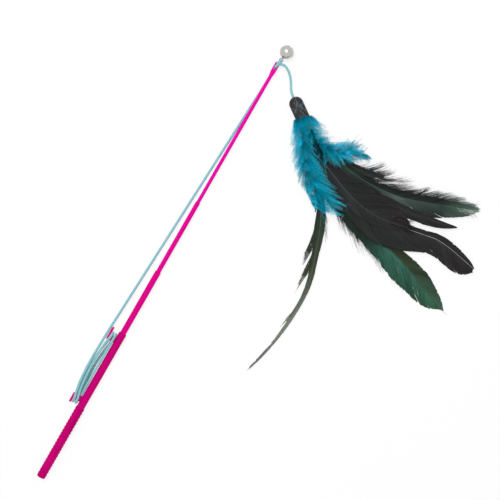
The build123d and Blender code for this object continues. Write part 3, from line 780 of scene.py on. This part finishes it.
black_stops = [(0.0, (26, 29, 30)), (0.4, (33, 35, 35)), (0.75, (36, 36, 36)), (1.0, (42, 37, 39))]
charcoal_stops = [(0.0, (26, 30, 32)), (0.5, (39, 42, 41)), (0.8, (38, 38, 38)), (1.0, (44, 39, 41))]
emerald_stops = [(0.0, (24, 34, 33)), (0.42, (34, 46, 36)), (0.58, (36, 56, 47)), (0.68, (52, 102, 86)),
                 (0.85, (50, 96, 78)), (1.0, (54, 96, 72))]
olive_green_stops = [(0, (24, 32, 30)), (0.55, (33, 44, 34)), (0.76, (50, 62, 42)), (0.9, (54, 82, 62)),
                     (1, (60, 96, 74))]
smoke_stops = [(0.0, (26, 44, 42)), (0.3, (40, 62, 46)), (0.45, (34, 40, 38)), (0.62, (72, 84, 81)),
               (0.82, (42, 55, 49)), (0.9, (76, 100, 88)), (1.0, (106, 132, 118))]
fringe_stops = [(0.0, (26, 44, 42)), (0.3, (42, 64, 50)), (0.45, (28, 34, 33)), (0.82, (34, 39, 38)),
                (0.92, (70, 90, 80)), (1.0, (104, 130, 116))]
upper_stops = [(0.0, (26, 44, 42)), (0.5, (34, 46, 40)), (0.7, (32, 38, 36)), (1.0, (46, 52, 50))]
olive_stops = [(0.0, (30, 46, 42)), (0.4, (40, 56, 44)), (0.56, (56, 66, 46)), (0.66, (88, 97, 82)),
               (0.8, (132, 138, 128)), (1.0, (136, 138, 134))]
black_vane = vane_look("black_vane", charcoal_stops, black_stops)
green_vane = vane_look("green_vane", emerald_stops, olive_green_stops, 0.36)
smoke_vane = vane_look("smoke_vane", smoke_stops, fringe_stops)
upper_vane = vane_look("upper_vane", upper_stops, upper_stops)
olive_vane = vane_look("olive_vane", olive_stops, olive_stops)
pale_shaft = shaft_look("pale_shaft", (188, 190, 190))
gray_shaft = shaft_look("gray_shaft", (84, 106, 110))
green_shaft = shaft_look("green_shaft", (64, 108, 88))
dark_shaft = shaft_look("dark_shaft", (44, 48, 46))
olive_shaft = shaft_look("olive_shaft", (84, 90, 74))

# Outlines are lengths walked along the spine with offsets from it. Vanes: side, start, end, pitch, angle,
# clump, part, ragged. Locks: start, end, tip, count, spray, width.
feather(
    "feather_olive_thin", 11, (1, 0.35, 311), (olive_vane, olive_shaft),
    middle=[(20, 0), (100, 2.5), (130, 3), (160, 2), (180, 3.4), (200, 4.4), (215, 3.8), (230, 2.8),
            (250, 2.2), (270, 1.3), (290, 0.4), (311, 0)],
    left=[(60, 1), (90, 4), (110, 3.4), (130, 3.6), (145, 3.4), (160, 2), (180, -0.6), (200, -1.8),
          (215, -1.8), (230, -0.4), (240, -0.2), (255, -0.4), (270, 0), (290, 0.8), (303, 1), (311, 0.1)],
    right=[(60, 1), (90, 6), (115, 8.4), (135, 8.4), (150, 7), (165, 6), (185, 7), (200, 7.2), (220, 5.8),
           (240, 4.6), (255, 3.6), (270, 2.7), (290, 1.8), (303, 0.9), (311, 0.1)],
    vanes=[
        (-1, 26, 305, 0.5, 9, 24, 0.4, 0.04),
        (1, 26, 305, 0.5, 9, 24, 0.2, 0.04),
    ],
    locks=[
        (104, 150, (168, -8.6), 46, (5, 0.8), 0.6, {"bow": -0.9}),
        (146, 176, (194, -6), 40, (5, 0.7), 0.6, {"bow": -0.9}),
        (214, 232, (244, -2.2), 16, (3.5, 0.6), 0.4, {"bow": -0.9}),
        (104, 124, (142, 11.5), 14, (5, 0.8), 0.35, {"bow": -0.9}),
        (100, 116, (128, 10), 14, (4, 1), 0.4, {"bow": -0.9}),
    ],
)
feather(
    "feather_green_broad", 12, (1.2, 0.3, 281), (green_vane, green_shaft),
    middle=[(20, 0), (140, 3), (190, 6.4), (215, 6.8), (240, 3.6), (262, 0.3), (284, 0)],
    left=[(20, 2), (40, 8), (60, 14), (85, 18), (110, 19), (130, 18.6), (150, 16.8), (170, 15.8),
          (190, 14), (210, 15.4), (235, 14), (250, 12.8), (259, 10.8), (265, 7.6), (269, 3.6), (272, 0)],
    right=[(40, 1), (100, 4), (140, 8), (170, 13), (200, 17), (215, 18.8), (233, 18.6), (243, 16.4),
           (252, 13.4), (261, 10.4), (268, 7), (273, 3), (276, 0)],
    vanes=[
        (-1, 160, 271, 0.34, 26, 12, 0.22, 0.03),
        (1, 26, 275, 0.36, 27, 14, 0.12, 0.03),
        (-1, 40, 164, 0.34, 27, 10, 0.15, 0.08, {"over": 0.86}),
        (-1, 28, 172, 0.22, 27, 6, 0.4, 0.1, {"loose": 0.45, "wide": 2, "fine": 0.25}),
        (-1, 90, 166, 0.5, 21, 8, 0.6, 0.12,
         {"loose": 0.7, "over": 1.22, "wide": 0.5, "fine": 0.4, "tone": 0.6}),
    ],
    locks=[
        (176, 190, (222, -15), 10, (5, 1.5), 0.3),
        (196, 206, (226, -6), 12, (4, 0.5), 0.35, {"tone": 1}),
        (206, 214, (242, -4), 10, (4, 0.5), 0.3, {"tone": 0.95}),
    ],
)
feather(
    "feather_green_tipped", 13, (0.9, 0.35, 238), (smoke_vane, green_shaft),
    middle=[(20, 0), (150, 0.4), (175, 1.8), (200, 2.4), (220, 1.6), (240, 0)],
    left=[(30, 1), (55, 9), (75, 16), (100, 19), (125, 17), (150, 12.6), (165, 12.8), (180, 13.8),
          (192, 13.4), (205, 11.6), (216, 9.4), (226, 7), (233, 4.6), (238, 2.2), (241, 0)],
    right=[(30, 1), (60, 6), (85, 10), (105, 14), (120, 16), (140, 16), (165, 17), (185, 18.8),
           (200, 18.4), (212, 15.4), (222, 12), (231, 8.4), (237, 5), (241, 0)],
    vanes=[
        (-1, 24, 214, 0.36, 25, 16, 0.1, 0.03),
        (1, 24, 100, 0.36, 25, 10, 0.2, 0.05),
        (1, 90, 239, 0.15, 27, 4.5, 0.45, 0.13,
         {"loose": 0.4, "over": 1.14, "wide": 1.5, "fine": 0.1, "curl": -0.12}),
        (-1, 196, 239, 0.3, 20, 4.5, 0.5, 0.1, {"loose": 0.5, "over": 1.15, "wide": 0.6, "fine": 0.2}),
        (1, 90, 232, 0.34, 30, 20, 0, 0.1, {"over": 0.55, "wide": 2, "fine": 0.3}),
    ],
    locks=[
        (112, 126, (150, 11.5), 20, (7, 1.6), 0.25),
        (128, 142, (166, 14.5), 22, (7, 1.6), 0.25),
        (146, 152, (180, 18.4), 26, (1.6, 0.5), 0.3, {"tone": 0.1, "bow": 0.5}),
        (214, 228, (236, 9), 14, (3, 1.8), 0.3),
        (212, 226, (234, -8), 14, (3, 1.6), 0.3),
    ],
)
feather(
    "feather_dark_upper", 14, (1.1, 0.3, 118), (upper_vane, dark_shaft),
    middle=[(20, 0), (147, 0)],
    left=[(30, 1), (60, 3), (80, 3), (100, 3), (112, 2), (120, 1), (126, 0)],
    right=[(30, 1), (60, 4), (80, 5), (95, 5), (110, 4), (120, 2), (126, 0)],
    vanes=[
        (-1, 22, 110, 0.36, 24, 9, 0.2, 0.05),
        (1, 22, 112, 0.4, 20, 7, 0.5, 0.15, {"loose": 0.4, "fine": 0.3}),
    ],
    locks=[
        (84, 98, (118, 17), 30, (3, 1.2), 0.35, {"bow": 0.35}),
        (90, 102, (122, 10.5), 26, (3.5, 1.2), 0.35, {"bow": 0.4}),
        (98, 114, (130, 11), 44, (4, 2.2), 0.22, {"bow": 0.5}),
        (84, 92, (102, 9.5), 16, (3.5, 1.4), 0.2, {"bow": 0.2}),
        (108, 130, (148, 6.5), 40, (7, 1.8), 0.22, {"bow": 0.4}),
    ],
)
feather(
    "feather_black_short", 15, (1.2, 0.3, 225), (black_vane, dark_shaft),
    middle=[(20, 0), (225, 0)],
    left=[(40, 1), (80, 5), (100, 11), (120, 12), (140, 9), (165, 7.5), (180, 7), (190, 7.3), (200, 6.6),
          (210, 5), (219, 2.6), (226, 0)],
    right=[(40, 0.8), (110, 1), (130, 4), (150, 5.6), (180, 5), (200, 3.2), (212, 2.2), (220, 1.3),
           (226, 0)],
    vanes=[
        (-1, 26, 224, 0.36, 17, 14, 0.1, 0.03),
        (1, 26, 224, 0.36, 17, 14, 0.1, 0.03),
    ],
)
feather(
    "feather_black_long", 16, (1, 0.4, 272), (black_vane, pale_shaft),
    middle=[(20, 0), (120, 2), (170, 6), (200, 10), (222, 12.6), (238, 10.4), (252, 7.4), (266, 4.6),
            (274, 3)],
    left=[(40, 1), (70, 4), (100, 9), (120, 12.5), (140, 18), (158, 22), (172, 22), (186, 18.4),
          (200, 13.2), (211, 8.8), (221, 6), (230, 6.4), (240, 9.2), (250, 10.8), (259, 11.2), (265, 9.4),
          (270, 5.6), (274, -1)],
    right=[(40, 1), (70, 3), (120, 7), (160, 11), (185, 14), (205, 16), (218, 18.6), (230, 18.8),
           (242, 16.6), (254, 13.4), (263, 10), (270, 6.6), (274, 3)],
    vanes=[
        (-1, 26, 272, 0.34, 24, 13, 0.12, 0.02),
        (1, 26, 272, 0.36, 16, 9, 0.3, 0.05),
    ],
    locks=[
        (236, 244, (258, -10.5), 10, (3, 1), 0.3),
    ],
)
feather(
    "feather_black_broad", 17, (0.8, 0.25, 181), (black_vane, gray_shaft),
    middle=[(20, 0), (60, -1), (70, -2), (90, -3.6), (105, -5.4), (120, -7), (140, -7.6), (160, -5.6),
            (180, -1.5)],
    left=[(20, 1), (40, 5), (60, 9), (80, 13), (100, 16.5), (120, 18.6), (142, 18.8), (156, 16.6),
          (166, 13), (175, 8.4), (181, 4), (185, 0)],
    right=[(20, 1), (40, 3), (60, 4.4), (78, 6), (90, 8), (100, 11), (112, 15), (124, 17.6), (142, 18.4),
           (158, 16.4), (168, 12.4), (177, 7), (185, 0)],
    vanes=[
        (-1, 24, 160, 0.32, 25, 14, 0.1, 0.03),
        (1, 24, 157, 0.32, 22, 9, 0.04, 0.05),
        (1, 150, 180, 0.22, 20, 5, 0.6, 0.14, {"loose": 0.5, "fine": 0.15}),
    ],
    locks=[
        (146, 160, (183, 7.5), 26, (2.5, 2), 0.35),
        (154, 170, (186, 1.5), 26, (2.5, 1.6), 0.35),
        (150, 168, (187, -5), 26, (2.5, 2), 0.35),
        (160, 168, (192, -4), 6, (0.8, 0.5), 0.4, {"bow": 0.5}),
    ],
)


# Marabou: soft barbs in tufts, each barb thick with fine barbules

# How far the down reaches across the lure, by the distance from the cap's mouth
left_edge = [(-4, -6.5), (0, -7.6), (7, -13), (15, -21), (24, -27), (35, -30.5), (46, -32), (55, -33),
             (65, -32), (74, -31), (85, -30), (95, -28), (102, -25), (108, -17.5), (114, -7)]
left_inner = [(-4, 4), (8, 3), (16, -2), (34, 1), (48, -1.5), (59, -3), (71, -2), (84, 0.5), (97, 2.4),
              (105, 2.8), (110, -1), (114, -6)]
right_inner = [(-4, -4), (8, -2), (18, 3), (26, 2), (35, 0.8), (45, 0.2), (53, 3), (60, 7), (64, 14),
               (66.5, 25), (70, 36), (74, 46)]
right_edge = [(-4, 6), (3, 7.8), (7, 9.5), (13, 13.5), (19, 16.4), (25, 17), (30, 15), (36, 17),
              (41, 20.5), (42, 30), (44, 41), (57, 45), (67, 48), (74, 50)]
left_zone = (left_edge, left_inner)
right_zone = (right_inner, right_edge)
under_zone = ([(-4, -4), (110, -14)], right_edge)
middle_zone = ([(18, -5), (30, -4), (46, -3), (56, -2)], [(18, 1), (30, 2), (46, 4), (56, 3)])
barb_stations = 9
down_root_w = 0.2
down_tip_w = 0.06
barbules = 96
barbule_d = 0.13
barbule_lengths = (1.2, 3.2)
barbule_floor_gap = 0.15
down_floor_gap = 0.4
down_top = 15.0
down_crinkle = 0.55
down_foot_spread = 0.7
barbs_in_tuft = 6
tuft_pull = 0.35
plume_shaft_d = (0.9, 0.2)
collar_inset = 0.1
collar_depth = 2.4
collar_lengths = (5, 20)
# Places in a plume's list of materials, where 1 is its shaft
# The last place holds very dark down, a painted shade for the gap between the plumes
bright_down, dark_down, painted_shade_down = 0, 2, 3


def spikes(root, tip, thick, detail, row, rows, spot, material):
    """Fine closed spikes from their roots to their tips."""
    count = len(root)
    way = unit(tip - root)
    one = unit(np.cross(way, UP) + 1e-6)
    two = np.cross(way, one)
    corners = []
    for turn in (0, math.tau / 3, 2 * math.tau / 3):
        corners.append(root + (one * math.cos(turn) + two * math.sin(turn)) * thick / 2)
    points = np.stack(corners + [tip], 1)
    base = np.arange(count)[:, None] * 4
    faces = (base[:, None] + np.array([[0, 1, 3], [1, 2, 3], [2, 0, 3], [0, 2, 1]])[None]).reshape(-1, 3)
    u = spot[:, None] + np.array([0.0, 0.01, 0.005])[None]
    v = (row[:, None] + np.array([0.1, 0.1, 0.9])[None]) / rows
    places = np.repeat(np.stack([u, v], -1)[:, None], 4, axis=1).reshape(-1, 3, 2)
    return {"points": points, "faces": [(faces, places)], "detail": np.repeat(detail[:, None], 4, axis=1),
            "material": material}


def down(rng, foot, tip, arch, shade, material=0):
    """Barbs from these feet to these tips, arched up and crinkled, with barbules to all sides."""
    count = len(foot)
    q = np.linspace(0, 1, barb_stations)[None, :, None]
    size = np.linalg.norm(tip - foot, axis=1)
    middle = (foot + tip) / 2 + UP * arch[:, None] + rng.normal(0, 0.1, (count, 3)) * size[:, None]
    path = foot[:, None] * (1 - q) ** 2 + middle[:, None] * 2 * q * (1 - q) + tip[:, None] * q**2
    waves = rng.uniform(0, 6.28, (count, 1, 3)) + q * rng.uniform(5, 12, (count, 1, 1))
    path = path + np.sin(waves) * down_crinkle * q * np.minimum(1, size / 8)[:, None, None]
    path[..., 2] = np.clip(path[..., 2], floor_z + down_floor_gap, down_top)
    ones = np.ones((count, barb_stations))
    detail = np.stack([q[..., 0] * ones, shade[:, None] * ones, 0.5 * ones], -1)
    widths = (down_root_w + (down_tip_w - down_root_w) * q[..., 0]) * ones
    barbs = strips(path, widths, widths * 0.6, detail, material=material)
    at = np.sort(rng.uniform(0.04, 0.99, (count, barbules)), axis=1)
    cell = np.minimum((at * (barb_stations - 1)).astype(int), barb_stations - 2)
    part = (at * (barb_stations - 1) - cell)[..., None]
    rows = np.arange(count)[:, None]
    root = path[rows, cell] * (1 - part) + path[rows, cell + 1] * part
    way = unit(path[rows, cell + 1] - path[rows, cell])
    spread = rng.normal(0, 1, (count, barbules, 3))
    spread = unit(spread - way * (spread * way).sum(-1, keepdims=True))
    long = rng.uniform(*barbule_lengths, (count, barbules)) * (1.1 - 0.8 * at**3)
    long = long * np.minimum(1, size / 7)[:, None]
    end = root + (spread + way * rng.uniform(0.1, 0.7, (count, barbules, 1))) * long[..., None]
    end[..., 2] = np.maximum(end[..., 2], floor_z + barbule_floor_gap)
    tone = np.stack([at, np.repeat(shade[:, None], barbules, 1), rng.uniform(0, 1, (count, barbules))], -1)
    row = np.repeat(np.arange(count), barbules)
    fluff = spikes(root.reshape(-1, 3), end.reshape(-1, 3), barbule_d, tone.reshape(-1, 3), row, count,
                   at.ravel(), material)
    return [barbs, fluff]


def plume(name, seed, zone, stretch, count, lag, rise, dark_past=90.0, collar=0, painted_shade_share=0.0):
    """A plume: barbs from its shaft to points spread over a zone of the lure, drawn together in tufts. lag
    sets the barbs' feet back along the shaft, rise lifts their tips, and tips past dark_past are dark. collar
    adds barbs round the cap's mouth, and deep is the share of tufts given very dark down, a painted shade for
    the gap between the plumes."""
    rng = np.random.default_rng(seed)
    spine = spines[name]
    u = rng.uniform(*stretch, count * 8)
    low, high = (np.interp(u, *np.transpose(edge)) for edge in zone)
    v = low + (high - low) * rng.beta(0.7, 0.7, len(u))
    kept = rng.uniform(0, (high - low).max(), len(u)) < high - low
    target = np.stack([u, v], -1)[kept][:count]
    count = len(target)
    heads = target[: max(4, count // barbs_in_tuft)]
    tuft = np.linalg.norm(target[:, None] - heads[None], axis=2).argmin(1)
    target = target * (1 - tuft_pull) + heads[tuft] * tuft_pull
    line = np.stack([(spine.centre - cap_mouth) @ lure_u, (spine.centre - cap_mouth) @ lure_v], -1)
    apart = np.linalg.norm(target[:, None] - line[None], axis=2)
    near = spine.walked[apart.argmin(1)]
    root = np.clip(near - apart.min(1) * lag - rng.uniform(2, 7, count), spine.mouth, spine.length * 0.96)
    foot = spine.at("centre", root) + rng.normal(0, down_foot_spread, (count, 3))
    own = rng.normal(0, 1, (count, 2))
    tufts = rng.normal(0, 1, (len(heads), 2))[tuft]
    tip = cap_mouth + lure_u * target[:, :1] + lure_v * target[:, 1:]
    stray = rng.exponential(1.0, (count, 1))
    stray = stray + (rng.random((count, 1)) < 0.2) * rng.exponential(4.0, (count, 1))
    tip = tip + unit(tip - foot) * stray
    tip[:, 2] = foot[:, 2] + rise * (0.35 + 0.5 * tufts[:, 1] + 0.35 * own[:, 1])
    arch = np.linalg.norm(tip - foot, axis=1) * 0.16 + 1.0
    shade = np.clip(0.5 + 0.24 * tufts[:, 0] + 0.12 * own[:, 0], 0, 1)
    parts = [shaft(spine, *plume_shaft_d, spine.length * 0.95)]
    looks = np.where(target[:, 1] + own[:, 0] * 2 > dark_past, dark_down, bright_down)
    # Some tufts take the very dark down, a painted shade
    looks = np.where(rng.random(len(heads))[tuft] < painted_shade_share, painted_shade_down, looks)
    for look in np.unique(looks):
        chosen = looks == look
        parts += down(rng, foot[chosen], tip[chosen], arch[chosen], shade[chosen], int(look))
    if collar:
        parts += collar_down(rng, collar)
    made = piece(name + "_down", parts, (marabou, down_shaft, marabou_dark, marabou_painted_shade))
    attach(made, "lure")
    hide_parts(name)


def collar_down(rng, count):
    """Barbs that spring out of the cap's mouth all round and run on into the plumes, over its rim."""
    turn = rng.uniform(-0.3, np.pi + 0.3, count)
    aside = np.cos(turn)[:, None]
    out = lure_v * aside + UP * np.sin(turn)[:, None]
    back = 0.6 + 1.5 * (1 - aside)
    ahead = collar_depth * rng.uniform(0, 1, (count, 1)) - back
    foot = cap_mouth + out * (cap_r - collar_inset) + lure_u * ahead
    long = rng.uniform(*collar_lengths, (count, 1)) * np.where(aside < 0, 1.3, 1.0)
    fan = np.where(aside < 0, 0.58, 0.4) * aside + rng.normal(0, 0.16, (count, 1))
    tip = foot + lure_u * long + lure_v * fan * long + UP * rng.uniform(-0.12, 0.05, (count, 1)) * long
    shade = np.clip(0.5 + 0.22 * rng.normal(0, 1, count), 0, 1)
    return down(rng, foot, tip, 0.08 * long[:, 0], shade)


teal_stops = [(0.0, (0, 112, 138)), (0.25, (0, 172, 205)), (0.6, (10, 214, 240)), (1.0, (74, 216, 236))]
# Painted shade: very dark down for the tufts in the gap between the plumes, where shade falls
painted_shade_stops = [(0.0, (10, 30, 34)), (0.4, (10, 50, 58)), (1.0, (20, 84, 98))]
marabou = down_look("marabou", teal_stops, (130, 190, 202), 0.5)
marabou_dark = down_look("marabou_dark_tips", teal_stops, (30, 58, 62), 0.95)
marabou_painted_shade = down_look("marabou_painted_shade", painted_shade_stops, (30, 76, 88), 0.3)
down_shaft = shaft_look("down_shaft", (20, 90, 112))
plume("marabou_under_left", 31, left_zone, (2, 113), 440, 1.1, 3.0)
plume("marabou_under_right", 32, under_zone, (2, 70), 320, 0.8, 1.0)
plume("marabou_right", 33, right_zone, (-1, 74), 445, 0.5, 6.0, dark_past=40.0)
plume("marabou_left", 34, left_zone, (-1, 114), 445, 1.1, 5.0)
plume("marabou_top", 35, middle_zone, (18, 56), 120, 0.8, 2.0, collar=190, painted_shade_share=0.6)


# Stray fibres of down that cling to the cap

fibre_d = 0.13
fibre_gap = 0.1
fibre_lengths = (4, 12)
fibre_stations = 9


def cap_fibres(bundles=17, each=3):
    rng = np.random.default_rng(41)
    count = bundles * each
    along = np.repeat(rng.beta(1.3, 0.9, bundles) * (cap_length - 2) + 1, each) + rng.normal(0, 0.8, count)
    turn = np.repeat(np.radians(92 + rng.normal(0, 34, bundles)), each) + rng.normal(0, 0.03, count)
    long = np.repeat(rng.uniform(*fibre_lengths, bundles), each) * rng.uniform(0.6, 1, count)
    skew = np.repeat(rng.normal(0.0, 0.5, bundles), each)
    wave = np.repeat(rng.normal(0, 0.06, (bundles, 2)), each, axis=0)
    s = np.linspace(-0.5, 0.5, fibre_stations)[None]
    u = np.clip(along[:, None] + long[:, None] * s, 0.6, cap_length + 3)
    bend = turn[:, None] + skew[:, None] * s + wave[:, :1] * np.sin(7 * s) + wave[:, 1:] * np.cos(11 * s)
    radius = np.where(u < cap_r, np.sqrt(np.maximum(cap_r**2 - (cap_r - u) ** 2, 0.01)), cap_r) + fibre_gap
    path = cap_apex + lure_u * u[..., None] + lure_v * (radius * np.cos(bend))[..., None]
    path = path + UP * (radius * np.sin(bend))[..., None]
    widths = fibre_d * (1 - 1.4 * np.abs(s)) + 0 * u
    tone = np.stack([0.35 + 0.4 * rng.uniform(0, 1, (count, 1)) + 0 * u,
                     rng.uniform(0.2, 0.8, (count, 1)) + 0 * u, rng.uniform(0, 1, (count, 1)) + 0 * u], -1)
    pale = down_look("pale_fibres", [(0.0, (96, 140, 148)), (1.0, (136, 166, 170))], (136, 166, 170), 0.3)
    made = piece("cap_fibres", [strips(path, widths, widths * 0.5, tone)], [pale])
    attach(made, "lure")


cap_fibres()


# Camera straight above, as the photograph was taken

photo_side = 550.0
view_centre = Vector((331.0, -75.6, 0.0)) * MM
wand_turn = 60.17
right = Vector((math.cos(math.radians(wand_turn)), -math.sin(math.radians(wand_turn)), 0))
camera_data = bpy.data.cameras.new("camera")
camera_data.lens = 75
camera_data.sensor_width = 36
camera = bpy.data.objects.new("camera", camera_data)
distance = photo_side * MM * camera_data.lens / camera_data.sensor_width
up = Vector((0, 0, 1)).cross(right)
turned = Matrix((right, up, Vector((0, 0, 1)))).transposed().to_4x4()
camera.matrix_world = Matrix.Translation(view_centre + Vector((0, 0, distance))) @ turned
scene.collection.objects.link(camera)
scene.camera = camera
scene.view_settings.view_transform = "Standard"


# Floor, world and lamps

def floor():
    mesh = bpy.data.meshes.new("floor")
    reach = 4.0
    corners = [(-reach, -reach), (reach, -reach), (reach, reach), (-reach, reach)]
    points = [(view_centre.x + x, view_centre.y + y, floor_z * MM) for x, y in corners]
    mesh.from_pydata(points, [], [(0, 1, 2, 3)])
    made = bpy.data.objects.new("floor", mesh)
    scene.collection.objects.link(made)
    look = Look("floor_pale", Base_Color=(0.93, 0.93, 0.93, 1), Roughness=0.9, Specular_IOR_Level=0.0)
    glow_share = 0.78
    glow_strength = 1.03
    share = look.math("MULTIPLY", seen_directly(look.tree), glow_share)
    glow = look.node("Emission", {"Color": (1, 1, 1, 1), "Strength": glow_strength})
    both = look.node("MixShader", {0: share, 1: look.shader.outputs[0], 2: glow.outputs[0]})
    output = look.tree.nodes["Material Output"]
    look.tree.links.new(both.outputs[0], output.inputs["Surface"])
    mesh.materials.append(look.material)


def seen_directly(tree):
    """1 on rays from the camera, in reflections and through glass, and 0 on rays that carry light."""
    path = tree.nodes.new("ShaderNodeLightPath")
    value = path.outputs["Is Camera Ray"]
    for name in ("Is Glossy Ray", "Is Transmission Ray"):
        larger = tree.nodes.new("ShaderNodeMath")
        larger.operation = "MAXIMUM"
        tree.links.new(value, larger.inputs[0])
        tree.links.new(path.outputs[name], larger.inputs[1])
        value = larger.outputs[0]
    return value


def world():
    made = bpy.data.worlds.new("studio")
    made.use_nodes = True
    scene.world = made
    tree = made.node_tree
    ambient = tree.nodes["Background"]
    ambient.inputs["Color"].default_value = (1, 1, 1, 1)
    ambient.inputs["Strength"].default_value = 0.5
    backdrop = tree.nodes.new("ShaderNodeBackground")
    backdrop.inputs["Color"].default_value = (1, 1, 1, 1)
    both = tree.nodes.new("ShaderNodeMixShader")
    tree.links.new(seen_directly(tree), both.inputs[0])
    tree.links.new(ambient.outputs[0], both.inputs[1])
    tree.links.new(backdrop.outputs[0], both.inputs[2])
    tree.links.new(both.outputs[0], tree.nodes["World Output"].inputs["Surface"])


def lamp(name, offset, size, power):
    data = bpy.data.lights.new(name, "AREA")
    data.shape = "RECTANGLE"
    data.size, data.size_y = size
    data.energy = power
    made = bpy.data.objects.new(name, data)
    place = Vector(offset)
    made.location = view_centre + place
    made.rotation_mode = "QUATERNION"
    made.rotation_quaternion = (-place).to_track_quat("-Z", "Y")
    scene.collection.objects.link(made)


floor()
world()
lamp("key_softbox", (0.35, 0.55, 1.5), (0.7, 0.7), 13)
lamp("top_strip", (0.02, 0.06, 1.7), (0.9, 0.16), 3)
